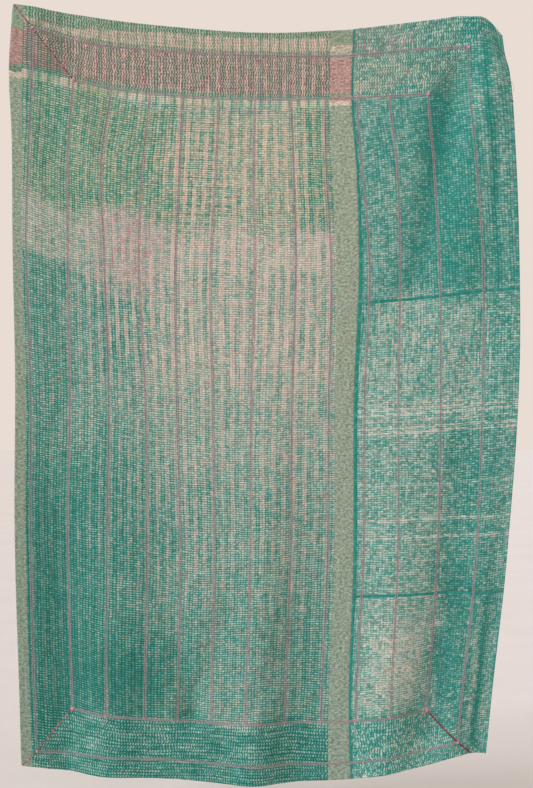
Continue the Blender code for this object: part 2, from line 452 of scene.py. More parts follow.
def cloth_sheet(name, left, right, top, bottom, wear_table, fold_light_shade_and_stripe_table, weave_table):
    """A panel of the quilt as a closed sheet on a fine grid of flat places.

    The front and back grids are surface() at the same flat places, and a rim of two strips
    closes them all round. The rim's middle stands out by a rounded millimetre at a free edge,
    and by half the gap at a join, so no light shows through between the cloths.
    """
    columns = grid_lines(ACROSS.values(), CLOTH_WIDTH, (LONG_JOIN,), left, right)
    rows = grid_lines(DOWN.values(), CLOTH_LENGTH, (UPPER_JOIN, LOWER_JOIN), top, bottom)
    down, across = (grid.ravel() for grid in np.meshgrid(rows, columns, indexing="ij"))
    wide, high = len(columns), len(rows)
    count = wide * high

    front, outward = surface(across, down)
    back, _ = surface(across, down, -1.0)
    index = np.arange(count).reshape(high, wide)
    ring = np.concatenate([index[0, :-1], index[:-1, -1], index[-1, :0:-1], index[:0:-1, 0]])
    centre_run = 0.5 * (front[ring] + back[ring])
    tangent = np.roll(centre_run, -1, axis=0) - np.roll(centre_run, 1, axis=0)
    proud = np.cross(outward[ring], tangent)
    proud /= np.linalg.norm(proud, axis=1)[:, None]
    free_edge = ((across[ring] <= 0.0) | (across[ring] >= CLOTH_WIDTH)
                 | (down[ring] <= 0.0) | (down[ring] >= CLOTH_LENGTH))
    away = centre_run - centre_run.mean(axis=0)
    proud *= np.sign((proud * away).sum(axis=1).mean())
    middle = centre_run + proud * np.where(free_edge, FREE_RIM, 0.5 * JOIN_GAP)[:, None]

    points = np.concatenate([front, back, middle])
    corner = index[:-1, :-1].ravel()
    face = np.stack([corner, corner + wide, corner + wide + 1, corner + 1], axis=1)
    ring_next = np.roll(ring, -1)
    middle_index = 2 * count + np.arange(len(ring))
    middle_next = np.roll(middle_index, -1)
    near_rim = np.stack([ring, ring_next, middle_next, middle_index], axis=1)
    far_rim = np.stack([middle_index, middle_next, ring_next + count, ring + count], axis=1)
    faces = np.concatenate([face, face[:, ::-1] + count, near_rim, far_rim])

    v = 0.002 + 0.996 * (1.0 - (down - top) / (bottom - top))
    front_uv, back_uv = (np.stack([start + width * (across - left) / (right - left), v], axis=1)
                         for start, width in (FRONT_MAP, BACK_MAP))
    turn = 0.002 + 0.996 * np.arange(len(ring) + 1) / len(ring)
    rim_uv = [np.stack([np.full(len(turn), RIM_MAP[0] + RIM_MAP[1] * step), turn], axis=1)
              for step in range(3)]
    uv = [front_uv[face.ravel()], back_uv[face[:, ::-1].ravel()]]
    uv += [np.stack([near[:-1], near[1:], far[1:], far[:-1]], axis=1).reshape(-1, 2)
           for near, far in zip(rim_uv, rim_uv[1:])]

    CLOTHS.append((columns, rows, *(grid.reshape(high, wide, 3)
                                    for grid in (front, back, outward))))
    piece = mesh_piece(name, points, faces, np.concatenate(uv))
    all_across = np.concatenate([across, across, across[ring]])
    all_down = np.concatenate([down, down, down[ring]])
    woven = hung(all_across, np.full_like(all_across, WOVEN_DOWN))[:, 0]
    store(piece, "flat", (all_across, all_down, woven))
    store(piece, "stitching", (*stitch_place(all_across, all_down),
                               inside_turned_border(all_across, all_down)))
    wear = painted(all_across, all_down, wear_table)
    # Painted light and shade along the folds is added to the wear, and the painted shade is also
    # stored as dye
    fold_light_shade_and_stripe_wear, dye = fold_light_shade_and_stripes(all_across, all_down, fold_light_shade_and_stripe_table)
    wear[:, 0] += fold_light_shade_and_stripe_wear
    store(piece, "wear", wear.T)
    store(piece, "dye", (dye,))
    store(piece, "weave", painted(all_across, all_down, weave_table).T)
    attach(piece, "root")
    return piece


def linear(colour):
    """sRGB hex to a linear colour: each channel by the standard curve, alpha 1."""
    channels = np.array([int(colour[place:place + 2], 16) for place in (1, 3, 5)]) / 255.0
    curved = np.where(channels <= 0.04045, channels / 12.92, ((channels + 0.055) / 1.055) ** 2.4)
    return (*curved.tolist(), 1.0)


def new_material(name):
    """An empty material, its shader, and the function that adds a node to it."""
    material = bpy.data.materials.new(name)
    material.use_nodes = True
    tree = material.node_tree

    def add(kind, *inputs, stops=None, **settings):
        """Adds a node and fills its open sockets in order, or those named in a table.

        An input is a value, a socket, or a node, whose first open output is taken.
        """
        made = tree.nodes.new("ShaderNode" + kind)
        for key, value in settings.items():
            setattr(made, key, value)
        if stops:
            elements = made.color_ramp.elements
            while len(elements) < len(stops):
                elements.new(1.0)
            for element, (place, colour, *alpha) in zip(elements, stops):
                element.position = place
                element.color = (*linear(colour)[:3], *(alpha or (1.0,)))
        if inputs and isinstance(inputs[0], dict):
            pairs = [(made.inputs[socket], value) for socket, value in inputs[0].items()]
        else:
            pairs = zip([socket for socket in made.inputs if socket.enabled], inputs)
        for socket, value in pairs:
            if isinstance(value, bpy.types.Node):
                value = next(output for output in value.outputs if output.enabled)
            if isinstance(value, bpy.types.NodeSocket):
                tree.links.new(value, socket)
            else:
                socket.default_value = value
        return made

    return material, tree.nodes["Principled BSDF"], add


def stored(add, name):
    """The three numbers kept for each point of a piece under a name."""
    return add("SeparateXYZ", add("Attribute", attribute_name=name).outputs["Vector"])


def stretched_noise(add, place, stretch, detail, roughness=0.5):
    """Noise on a place whose two coordinates are first multiplied by the stretch.

    A patch of it is as wide as one over the stretch, in the place's own unit.
    """
    place = add("VectorMath", place, (*stretch, 0.0), operation="MULTIPLY")
    return add("TexNoise", place, 1.0, detail, roughness)


# Share of the cloth that shows pale, as a grey, at each wear from none to all
SHARE_SHOWN = ((0, "#454545"), (0.25, "#707070"), (0.5, "#929292"),
               (0.75, "#B2B2B2"), (1.0, "#CFCFCF"))


# Thread spacing of the plain weave: the real one is 0.3 mm, too fine to show
WEAVE_PITCH = 0.0013
# Depth of the valleys between rows and between puckers: in the field, in the turned borders
# and in the sari's foot border, where the puckers run together along the rows
ROW_VALLEYS = (0.50, 0.34, 0.42)
PUCKER_VALLEYS = (0.88, 0.80, 0.62)


def quilted_cotton(name, ground, crest, reaches, calm, details):
    """Hand quilted, over-dyed cotton: matt cloth with pale worn puckers between the rows.

    The puckers are bright dots where two cosines meet, one across the rows and one along
    them. They widen and pale with the wear, which streaks along the rows and across them.
    """
    material, shader, add = new_material(name)
    flat = add("Attribute", attribute_name="flat").outputs["Vector"]
    stitching = add("Attribute", attribute_name="stitching").outputs["Vector"]
    wear, weave = stored(add, "wear"), stored(add, "weave")

    # Rows are counted across and puckers along, and the two change places in turned borders
    part = add("SeparateXYZ", stitching)
    turned = add("Math", part.outputs["Z"], 0.0, operation="GREATER_THAN")
    upright = add("VectorMath", stitching, (1 / ROW_SPACING, 1 / PUCKER_PITCH, 0.0),
                  operation="MULTIPLY")
    lying = add("CombineXYZ", add("Math", part.outputs["Y"], ROW_SPACING, operation="DIVIDE"),
                add("Math", part.outputs["X"], BORDER_PUCKER_PITCH, operation="DIVIDE"))
    beat = add("Mix", turned, upright, lying, data_type="VECTOR")
    # Each row slips along its neighbour, by a noise one row wide and ten puckers long
    apart = stretched_noise(add, beat, (1.1, 0.10), 0.0)
    apart = add("Math", apart, 0.5, operation="SUBTRACT")
    breaking = add("Math", turned, 0.9, 0.5, operation="MULTIPLY_ADD")
    apart = add("CombineXYZ", 0.0, add("Math", apart, breaking, operation="MULTIPLY"))
    beat = add("VectorMath", beat, apart, operation="ADD")
    # Each pucker, 7 mm long, strays a little. Worn cloth is looser: its puckers stray further
    loose = add("MapRange", wear.outputs["X"], 0.25, 0.75, 0.65, 1.0)
    loose = add("Math", add("Math", turned, 0.9, operation="MULTIPLY"), loose, operation="MAXIMUM")
    uneven = add("TexNoise", flat, 150.0, 1.0)
    uneven = add("VectorMath", uneven.outputs["Color"], (0.5, 0.5, 0.5), operation="SUBTRACT")
    uneven = add("VectorMath", uneven, loose, operation="MULTIPLY")
    beat = add("VectorMath", uneven, (0.66, 1.00, 0.0), beat, operation="MULTIPLY_ADD")

    turns = add("VectorMath", beat, (2 * np.pi, 2 * np.pi, 0.0), operation="MULTIPLY")
    wave = add("VectorMath", turns, operation="COSINE")
    wave = add("VectorMath", wave, (-0.5, -0.5, 0.0), (0.5, 0.5, 0.0), operation="MULTIPLY_ADD")
    wave = add("SeparateXYZ", wave)
    place = add("SeparateXYZ", flat)
    low_half = add("Math", place.outputs["Y"], 0.5 * CLOTH_LENGTH, operation="GREATER_THAN")
    sari_side = add("Math", place.outputs["X"], LONG_JOIN, operation="LESS_THAN")
    foot = add("Math", low_half, sari_side, operation="MULTIPLY")
    foot = add("Math", turned, foot, operation="MULTIPLY")
    across_rows = add("Math", wave.outputs["X"], 0.55, operation="POWER")
    humps = []
    for hump, (field, border, sari_foot) in ((across_rows, ROW_VALLEYS),
                                             (wave.outputs["Y"], PUCKER_VALLEYS)):
        depth = add("Math", turned, border - field, field, operation="MULTIPLY_ADD")
        depth = add("Math", foot, sari_foot - border, depth, operation="MULTIPLY_ADD")
        fill = add("Math", 1.0, depth, operation="SUBTRACT")
        humps.append(add("Math", hump, depth, fill, operation="MULTIPLY_ADD"))
    pucker = add("Math", humps[0], humps[1], operation="MULTIPLY")

    # Wear differs from one pucker to the next, in streaks 6 by 80 mm along the rows, in slubs
    # of the weft 42 by 3.5 mm, and in blotches 80 mm wide
    each = add("TexWhiteNoise", add("VectorMath", beat, operation="FLOOR"), noise_dimensions="3D")
    streak = stretched_noise(add, beat, (1.6, 0.085), 2.0, 0.6)
    slub = stretched_noise(add, flat, (24.0, 290.0), 2.0, 0.6)
    blotch = add("TexNoise", flat, 12.0, 2.0, 0.6)
    worn = wear.outputs["X"]
    differ = add("Math", loose, 0.5, 0.5, operation="MULTIPLY_ADD")
    calmer = add("Math", foot, -0.5, 1.0, operation="MULTIPLY_ADD")
    differ = add("Math", differ, calmer, operation="MULTIPLY")
    noises = ((each.outputs["Value"], differ), (streak.outputs[0], weave.outputs["Z"]),
              (slub.outputs[0], None), (blotch.outputs[0], None))
    for (noise, held_back), reach in zip(noises, reaches):
        centred = add("Math", noise, 0.5, operation="SUBTRACT")
        if held_back:
            centred = add("Math", centred, held_back, operation="MULTIPLY")
        worn = add("Math", centred, reach, worn, operation="MULTIPLY_ADD")
    own = details(add, flat, weave, worn)
    worn = own["worn"]

    # A pucker shows pale where it stands above a height that sinks with the wear. The share
    # that shows on the whole takes over in part where the puckers are rubbed flat
    low = add("Math", worn, -0.62, 0.74, operation="MULTIPLY_ADD")
    fresh_low = add("Math", worn, -0.42, 0.66, operation="MULTIPLY_ADD")
    low = add("Math", low, fresh_low, operation="MINIMUM")
    high = add("Math", low, 0.34, operation="ADD")
    shown = add("MapRange", pucker, low, high, interpolation_type="SMOOTHSTEP")
    share = add("ValToRGB", worn, stops=SHARE_SHOWN)
    flatter = add("MapRange", wear.outputs["X"], 0.2, 0.7, *calm)
    flatter = add("Math", add("Math", 1.0, turned, operation="SUBTRACT"), flatter,
                  operation="MULTIPLY")
    shown = add("Mix", flatter, shown, share, data_type="FLOAT")
    ground_colour = add("ValToRGB", worn, stops=ground)
    crest_colour = add("ValToRGB", worn, stops=crest)
    ground_colour = own["ground"](ground_colour)
    crest_colour = own["crest"](crest_colour)
    colour = add("Mix", shown, ground_colour, crest_colour, data_type="RGBA")

    # Sage where the dye has yellowed, darker by the painted shade of the folds, tinted in spots
    # 13 mm wide, and blushed in blotches and in pink threads 5 by 30 mm
    colour = add("Mix", wear.outputs["Y"], colour, (1.08, 1.0, 0.85, 1.0),
                 data_type="RGBA", blend_type="MULTIPLY")
    # Painted shade: the dye attribute draws the colour toward black in the fold hollows and along
    # the border's dark stripes
    colour = add("Mix", stored(add, "dye"), colour, (0.0, 0.0, 0.0, 1.0), data_type="RGBA")
    hue = add("TexNoise", flat, 75.0, 2.0, 0.7)
    hue = add("ValToRGB", hue, stops=((0.36, "#EBFFF6"), (0.5, "#FBFBFB"), (0.64, "#FFEFEC")))
    colour = add("VectorMath", colour, hue, operation="MULTIPLY")
    blush = add("Math", wear.outputs["Z"], blotch.outputs[0], operation="MULTIPLY")
    colour = add("Mix", blush, colour, linear("#B98D8B"), data_type="RGBA")
    thread = stretched_noise(add, flat, (210.0, 34.0), 2.0)
    thread = add("MapRange", thread, 0.56, 0.64, 0.0, 1.5)
    thread = add("Math", thread, wear.outputs["Z"], operation="MULTIPLY")
    colour = add("Mix", thread, colour, linear("#B86482"), data_type="RGBA")
    colour = own["cover"](colour)

    threads = add("VectorMath", flat, (2 * np.pi / WEAVE_PITCH, 2 * np.pi / WEAVE_PITCH, 0.0),
                  operation="MULTIPLY")
    threads = add("SeparateXYZ", add("VectorMath", threads, operation="COSINE"))
    threads = add("Math", threads.outputs["X"], threads.outputs["Y"], operation="MULTIPLY")
    grain = add("Math", threads, 0.05, 1.0, operation="MULTIPLY_ADD")
    colour = add("VectorMath", colour, grain, operation="MULTIPLY")
    height = add("Math", threads, 0.05, pucker, operation="MULTIPLY_ADD")
    height = add("Mix", own["plain"], height, add("Math", threads, 0.07, operation="MULTIPLY"),
                 data_type="FLOAT")
    bump = add("Bump", {"Strength": 0.75, "Distance": 0.0016, "Height": height})
    rough = add("MapRange", shown, 0.0, 1.0, 0.93, 0.82)
    links = material.node_tree.links
    links.new(colour.outputs[0], shader.inputs["Base Color"])
    links.new(bump.outputs[0], shader.inputs["Normal"])
    links.new(rough.outputs[0], shader.inputs["Roughness"])
    shader.inputs["Specular IOR Level"].default_value = 0.25
    shader.inputs["Sheen Weight"].default_value = 0.08
    shader.inputs["Sheen Roughness"].default_value = 0.6
    return material


# name, from across, to across, from down, to down, softness, then wear, sage and blush
LEFT_WEAR = (
    ("whole cloth", -99, 1999, -99, 2999, 1, 0.48, 0.15, 0.0),
    ("head", -99, 1999, -99, 590, 30, 0.49, 1.00, 0.0),
    ("left border of the head", -99, 167, 212, 590, 20, 0.42, 0.90, 0.0),
    ("worn middle of the head", 470, 880, 190, 600, 60, 0.70, 0.70, 0.05),
    ("right of the head", 880, 1000, 190, 600, 30, 0.50, 0.90, 0.0),
    ("corner of the head", -99, 150, 52, 212, 30, 0.30, 0.30, 0.0),
    ("head edge by the corner", -99, 400, -99, 60, 16, 0.46, 0.20, 0.0),
    ("bands of the head", 130, 2000, -99, 236, 22, 0.58, 0.15, 0.0),
    # Painted shade: a slightly darker, greener band at the foot of the head
    ("greener foot of the head", 40, 440, 480, 600, 60, 0.46, 0.90, 0.0),
    ("left of the middle", 60, 400, 790, 1330, 130, 0.47, 0.0, 0.0),
    ("middle", 400, 1000, 700, 1150, 120, 0.74, 0.15, 0.05),
    ("under the middle", 400, 1030, 1130, 1400, 130, 0.64, 0.05, 0.0),
    ("worn fold below the head", 20, 1000, 606, 740, 48, 0.86, 0.15, 0.05),
    ("left of the worn fold", -20, 280, 606, 760, 80, 0.66, 0.15, 0.05),
    ("blushed patch", 250, 450, 590, 800, 45, 0.74, 0.10, 0.40),
    ("low middle", 360, 1000, 1380, 1780, 170, 0.51, 0.0, 0.0),
    # Darker toward the lower left corner
    ("low left", 60, 400, 1330, 1900, 170, 0.25, 0.0, 0.0),
    ("low right", 440, 1000, 1720, 2110, 130, 0.39, 0.0, 0.0),
    ("lowest left", 20, 460, 1860, 2130, 130, 0.01, 0.0, 0.0),
    ("left border", -99, 163, 740, 2300, 20, 0.36, 0.10, 0.0),
    ("low left border", -99, 163, 1400, 2300, 240, 0.05, 0.0, 0.0),
    ("bottom border", 90, 1100, 2108, 2400, 16, 0.20, 0.0, 0.0),
)
# name, from across and down, to across and down, spread, wear there and at the end, dye; more wear
# on a ridge is painted light, less wear and the dye in a hollow are painted shade
LEFT_FOLD_LIGHT_AND_SHADE = (
    ("low left hollow", 120, 1500, 160, 2100, 50, -0.02, -0.08, 0.04),
    ("low left ridge", 280, 1500, 330, 2100, 60, 0.03, 0.05, 0.0),
    ("low ridge by the belly", 560, 1500, 640, 2100, 50, 0.0, 0.05, 0.0),
    ("low ridge by the join", 800, 1500, 760, 2100, 60, 0.0, 0.06, 0.0),
    ("low hollow by the join", 920, 1500, 930, 2280, 50, -0.02, -0.10, 0.05),
)
# name and place as above, then the strength of the woven stripes, the fine checks, the streaks
LEFT_WEAVE = (
    ("whole cloth", -99, 1999, -99, 2999, 1, 0.20, 0.0, 0.42),
    ("stripes of the head", 200, 975, 100, 620, 80, 0.32, 0.0, 0.55),
    ("right of the head", 890, 1000, 190, 620, 30, 0.12, 0.0, 0.50),
    ("striped field", 440, 975, 100, 1000, 80, 0.72, 0.0, 0.60),
    ("stripes by the worn fold", 230, 975, 620, 1100, 70, 1.0, 0.0, 0.60),
    ("stripes lower down", 300, 975, 1100, 1700, 200, 0.55, 0.0, 0.50),
    ("foot border", -99, 1100, 2108, 2400, 16, 0.0, 0.0, 1.10),
    ("checked patch", 480, 630, 280, 600, 40, 1.00, 1.0, 0.60),
)
# Spacing of the woven stripes, place of the first one's middle, and how ragged their sides are
STRIPE_PITCH = 0.0293
FIRST_STRIPE = -0.4057
STRIPE_RAG = 0.012
CHECK_PITCH = 0.028
# How far down, in mm, each band across the head ends, and how far it covers the cloth's colour
BAND_ENDS = ((18, 1), (57, 1), (66, 1), (191, 1), (202, 1), (230, 1), (241, 0))
# Where the bands' colour ramp ends, and how softly a band turns into the next, in mm
BAND_REACH = 240
BAND_BLEND = 1.5
# The plain strips at the left edge and by the long join: how far down their width changes,
# from where to where, and the place of their inner side there
LEFT_STRIP = (0.25, 0.70, 0.026, 0.031)
RIGHT_STRIP = (0.75, 1.20, LONG_JOIN - 0.0625, LONG_JOIN - 0.0575)
# How far down, in mm, each colour of the strips ends
LEFT_STRIP_BANDS = ((80, "#7E8F78"), (190, "#9B7D73"), (199, "#73866F"), (204, "#54705F"),
                    (208, "#7E8F78"), (214, "#54705F"), (232, "#B3AB97"), (241, "#84917D"))
RIGHT_STRIP_BANDS = ((40, "#83917A"), (62, "#B0A692"), (76, "#9AA089"), (190, "#AA8A81"),
                     (199, "#87967C"), (212, "#AA8A81"), (227, "#C2B8A4"), (241, "#8F9A86"))


def sari_details(add, flat, weave, worn):
    """The bands across the head, the cream stripes with a rose thread, and the side strips."""
    place = add("SeparateXYZ", flat)
    across, down, woven = (place.outputs[axis] for axis in "XYZ")

    # A cream stripe 11 mm wide, rose in its middle 3 mm, in every pitch: the offset is the
    # distance from a stripe's middle in pitches. Its sides are ragged and it is broken in runs
    rag = stretched_noise(add, flat, (150.0, 34.0), 2.0)
    rag = add("Math", rag, STRIPE_RAG, woven, operation="MULTIPLY_ADD")
    count = add("Math", rag, FIRST_STRIPE + 0.5 * STRIPE_RAG, operation="SUBTRACT")
    count = add("Math", count, STRIPE_PITCH, operation="DIVIDE")
    offset = add("Math", add("Math", count, 0.5, operation="ADD"), operation="FRACT")
    offset = add("Math", offset, 0.5, operation="SUBTRACT")
    offset = add("Math", offset, operation="ABSOLUTE")
    stripe = add("MapRange", offset, 0.25, 0.14)
    broken = stretched_noise(add, flat, (40.0, 11.0), 3.0)
    broken = add("MapRange", broken, 0.36, 0.60)
    drawn = add("Math", weave.outputs["X"], broken, operation="MULTIPLY")
    cream = add("Math", stripe, drawn, operation="MULTIPLY")
    rose = add("MapRange", offset, 0.08, 0.04)
    rose = add("Math", rose, drawn, operation="MULTIPLY")
    worn = add("Math", cream, 0.46, worn, operation="MULTIPLY_ADD")
    worn = add("Math", drawn, -0.16, worn, operation="MULTIPLY_ADD")

    # Dark green lines 3 mm wide, one in every pitch down
    line = add("Math", add("Math", down, CHECK_PITCH, operation="DIVIDE"), operation="FRACT")
    line = add("Math", line, 0.12, operation="LESS_THAN")
    line = add("Math", line, weave.outputs["Y"], operation="MULTIPLY")
    worn = add("Math", line, -0.35, worn, operation="MULTIPLY_ADD")

    # Places down the bands, made ragged by 4 mm spots
    ragged = add("TexNoise", flat, 260.0, 2.0)
    ragged = add("Math", ragged, 0.5, operation="SUBTRACT")
    edge = add("Math", ragged, 0.020, down, operation="MULTIPLY_ADD")
    band_place = add("Math", edge, BAND_REACH * MM, operation="DIVIDE")

    def bands(rows):
        """The ramp of the bands, from where each ends, its colour and its cover."""
        stops, start = [], 0.0
        for end, *shade in rows:
            stops += [(start / BAND_REACH, *shade), ((end - BAND_BLEND) / BAND_REACH, *shade)]
            start = end
        return add("ValToRGB", band_place, stops=stops)

    head_edge = add("MapRange", across, 0.150, 0.415, 0.038, 0.018)
    green_head = add("Math", edge, head_edge, operation="LESS_THAN")
    in_band = add("MapRange", across, 0.05, 0.25, 0.82, 0.92)
    on_stripe = add("MapRange", broken, 0.0, 1.0, 0.35, 0.90)
    # Loose coloured strands 6 by 110 mm lie in the rose band and in the top band
    strand = stretched_noise(add, flat, (170.0, 9.0), 2.0)
    strand = add("MapRange", strand, 0.56, 0.68, 0.0, 0.75)
    in_rose_band = add("Math", add("Math", edge, 0.128, operation="SUBTRACT"),
                       operation="ABSOLUTE")
    in_rose_band = add("Math", in_rose_band, 0.062, operation="LESS_THAN")
    # Outside the rose band the stripes widen to cream blocks with narrow gaps
    block = add("MapRange", offset, 0.42, 0.34)
    wide = add("Mix", in_rose_band, block, stripe, data_type="FLOAT")
    on_stripe = add("Math", wide, on_stripe, operation="MULTIPLY")
    in_top_band = add("Math", edge, BAND_ENDS[1][0] * MM, operation="LESS_THAN")
    dash = add("Math", strand, in_top_band, operation="MULTIPLY")
    strand = add("Math", strand, in_rose_band, operation="MULTIPLY")

    def banded(between_shades, on_shades, green, magenta, striped, rosy):
        """Lays the bands over a colour: their shades between the stripes and on them."""
        between_ramp, on_ramp = (
            bands([(end, shade, cover) for (end, cover), shade in zip(BAND_ENDS, shades)])
            for shades in (between_shades, on_shades))

        def apply(colour):
            kept = add("Mix", on_stripe, between_ramp.outputs["Color"], on_ramp.outputs["Color"],
                       data_type="RGBA")
            for share, shade in ((strand, magenta), (green_head, green), (dash, striped)):
                kept = add("Mix", share, kept, linear(shade), data_type="RGBA")
            covered = add("Math", between_ramp.outputs["Alpha"], in_band, operation="MULTIPLY")
            for share, shade in ((cream, striped), (rose, rosy)):
                colour = add("Mix", add("Math", share, 0.5, operation="MULTIPLY"), colour,
                             linear(shade), data_type="RGBA")
            return add("Mix", covered, colour, kept, data_type="RGBA")
        return apply

    ground = banded(("#3C765F", "#6C846F", "#4D7863", "#5E675F", "#2C7C69", "#4E8A76", "#4E8A76"),
                    ("#8A8F7E", "#AD9689", "#6E7F6E", "#825F5C", "#4A7C6A", "#BCAE9E", "#98A593"),
                    "#3C765F", "#8A4358", "#A89C90", "#A8847F")
    crest = banded(("#9DA28E", "#9FA38E", "#8FA089", "#ABA294", "#7DA390", "#93B09C", "#93B09C"),
                   ("#D3B9AA", "#DCC0B4", "#B2A293", "#D6B6AB", "#ABA496", "#EAD9CA", "#D6C8B8"),
                   "#9DA28E", "#BE7F90", "#D9C9BD", "#C9A19B")

    # Side strips: plain fine weave, flecked in 8 mm spots, with a pink band in the head
    left_side = add("MapRange", down, *LEFT_STRIP)
    right_side = add("MapRange", down, *RIGHT_STRIP)
    rag_across = add("Math", ragged, 0.004, across, operation="MULTIPLY_ADD")
    in_left = add("Math", rag_across, left_side, operation="LESS_THAN")
    in_right = add("Math", rag_across, right_side, operation="GREATER_THAN")
    plain = add("Math", in_left, in_right, operation="MAXIMUM")
    strip_colour = add("Mix", in_right, bands(LEFT_STRIP_BANDS), bands(RIGHT_STRIP_BANDS),
                       data_type="RGBA")
    lower = add("MapRange", down, 0.6, 2.2, 0.0, 0.42)
    strip_colour = add("Mix", lower, strip_colour, linear("#70887C"), data_type="RGBA")
    fleck = stretched_noise(add, flat, (120.0, 160.0), 3.0, 0.7)
    bright = add("MapRange", fleck, 0.3, 0.7, 0.40, 1.58)
    strip_colour = add("VectorMath", strip_colour, bright, operation="MULTIPLY")

    def cover(colour):
        return add("Mix", plain, colour, strip_colour, data_type="RGBA")

    return {"worn": worn, "ground": ground, "crest": crest, "cover": cover, "plain": plain}


# Colour of the cloth between the puckers and on them, at each wear from none to all
LEFT_GROUND = ((0.0, "#006B60"), (0.25, "#16776B"), (0.5, "#448478"), (0.75, "#6E9085"),
               (1.0, "#92988E"))
LEFT_CREST = ((0.0, "#6FA398"), (0.25, "#98B5AA"), (0.5, "#BAC2B6"), (0.75, "#CEC5B9"),
              (1.0, "#D8C9BD"))
# How far the wear differs by pucker, by streak, by slub and by blotch
LEFT_REACHES = (0.36, 1.20, 0.20, 0.18)
# How far the puckers are rubbed flat on fresh and on worn cloth
LEFT_FLATNESS = (0.0, 0.20)

half_gap = JOIN_GAP / 2.0
left_cloth = cloth_sheet("left_cloth", 0.0, LONG_JOIN - half_gap, 0.0, CLOTH_LENGTH,
                         LEFT_WEAR, LEFT_FOLD_LIGHT_AND_SHADE, LEFT_WEAVE)
left_cloth.data.materials.append(quilted_cotton("faded_green_sari_cotton", LEFT_GROUND, LEFT_CREST,
                                                LEFT_REACHES, LEFT_FLATNESS, sari_details))
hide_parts("left_panel")


# ---- The right cloths -----------------------------------------------------------------------
# Three lengths of plain teal cotton, one under another beside the long join. Each has its raw
# edge folded under and laid over its neighbour, so a plain teal line runs down the long join
# and across each shorter one. The head keeps its dye, and the lower two have worn pale.
RIGHT_WEAR = (
    ("whole side", -99, 1999, -99, 2999, 1, 0.28, 0.0, 0.0),
    ("top border", 1000, 1999, -99, 204, 12, 0.44, 0.55, 0.22),
    ("top edge", 1000, 1999, -99, 72, 12, 0.36, 0.55, 0.30),
    ("right part of the top border", 1250, 1999, -99, 204, 60, 0.31, 0.22, 0.08),
    ("top right corner", 1400, 1999, -99, 204, 30, 0.25, 0.06, 0.0),
    ("head by the join", 1040, 1130, 204, 824, 50, 0.40, 0.0, 0.0),
    ("middle of the head", 1130, 1300, 204, 824, 60, 0.30, 0.0, 0.0),
    ("right of the head", 1270, 1420, 204, 824, 50, 0.15, 0.0, 0.0),
    ("right border of the head", 1427, 1999, 204, 824, 20, 0.24, 0.0, 0.0),
    ("middle by the join", 1040, 1280, 824, 1722, 50, 0.56, 0.05, 0.0),
    ("middle", 1200, 1460, 824, 1230, 70, 0.50, 0.0, 0.0),
    ("lower middle by the join", 1040, 1300, 1180, 1722, 70, 0.47, 0.02, 0.0),
    # Painted shade of the fold down the right side, as less wear
    ("shaded middle", 1340, 1440, 1230, 1722, 60, 0.25, 0.0, 0.0),
    ("right border of the middle", 1427, 1999, 824, 1722, 30, 0.34, 0.0, 0.0),
    ("foot by the join", 1040, 1300, 1722, 2108, 60, 0.40, 0.05, 0.0),
    ("palest patch of the foot", 1110, 1260, 1770, 2080, 130, 0.80, 0.15, 0.10),
    # Painted shade of the fold down the right side, as less wear
    ("right of the foot", 1340, 1440, 1722, 2108, 110, 0.11, 0.0, 0.0),
    ("right border of the foot", 1427, 1999, 1722, 2300, 30, 0.22, 0.0, 0.0),
    ("bottom border", 1000, 1400, 2108, 2400, 16, 0.27, 0.0, 0.0),
)
# Painted shade along the folds of the right cloths, as less wear and as dye, painted light along
# the light fold of the head, and paler and darker lines down the right border
RIGHT_FOLD_LIGHT_SHADE_AND_STRIPES = (
    ("dark fold of the head", 1350, 190, 1200, 800, 38, -0.14, -0.08, 0.08),
    ("light fold of the head", 1265, 190, 1110, 700, 50, 0.08, 0.04, 0.0),
    ("dotted column by the frame", 1452, 204, 1448, 824, 10, 0.22, 0.10, 0.0),
    ("dark stripe of the border", 1474, 60, 1470, 824, 6, -0.26, -0.22, 0.04),
    ("dotted column by the hem", 1500, 120, 1500, 824, 14, 0.22, 0.12, 0.0),
    ("shaded fold, upper part", 1410, 1250, 1370, 1700, 40, -0.02, -0.06, 0.08),
    ("shaded fold, lower part", 1370, 1700, 1340, 2150, 46, -0.10, -0.06, 0.16),
    ("border of the shaded fold", 1468, 1230, 1455, 1722, 24, -0.06, -0.06, 0.05),
    ("dark stripe low in the border", 1480, 1760, 1486, 2230, 7, -0.30, -0.34, 0.05),
    ("dotted column low by the frame", 1458, 1780, 1460, 2230, 11, 0.26, 0.34, 0.0),
    ("dotted column low by the hem", 1512, 1850, 1512, 2230, 13, 0.20, 0.24, 0.0),
)
# name and place as above, then the strength of the slubs, the upright streaks and those of wear
RIGHT_WEAVE = (
    ("whole side", -99, 1999, -99, 2999, 1, 0.3, 0.25, 0.9),
    ("lengths below the head", 1000, 1999, 824, 2400, 10, 1.0, 0.30, 0.7),
    ("upper part of the middle", 1000, 1470, 830, 1120, 40, 0.4, 1.0, 1.3),
    ("foot by the join", 1000, 1150, 1735, 2108, 30, 0.6, 1.0, 1.2),
    ("palest patch of the foot", 1110, 1270, 1820, 2060, 60, 3.6, 0.5, 0.9),
)
RIGHT_GROUND = ((0.0, "#0E7B70"), (0.25, "#278176"), (0.5, "#4A8E84"), (0.75, "#669A90"),
                (1.0, "#80A096"))
RIGHT_CREST = ((0.0, "#5EA398"), (0.25, "#85B3A8"), (0.5, "#B0C2B7"), (0.75, "#C6C8BC"),
               (1.0, "#D4CCC0"))
RIGHT_REACHES = (0.56, 0.75, 0.26, 0.18)
RIGHT_FLATNESS = (0.22, 0.34)

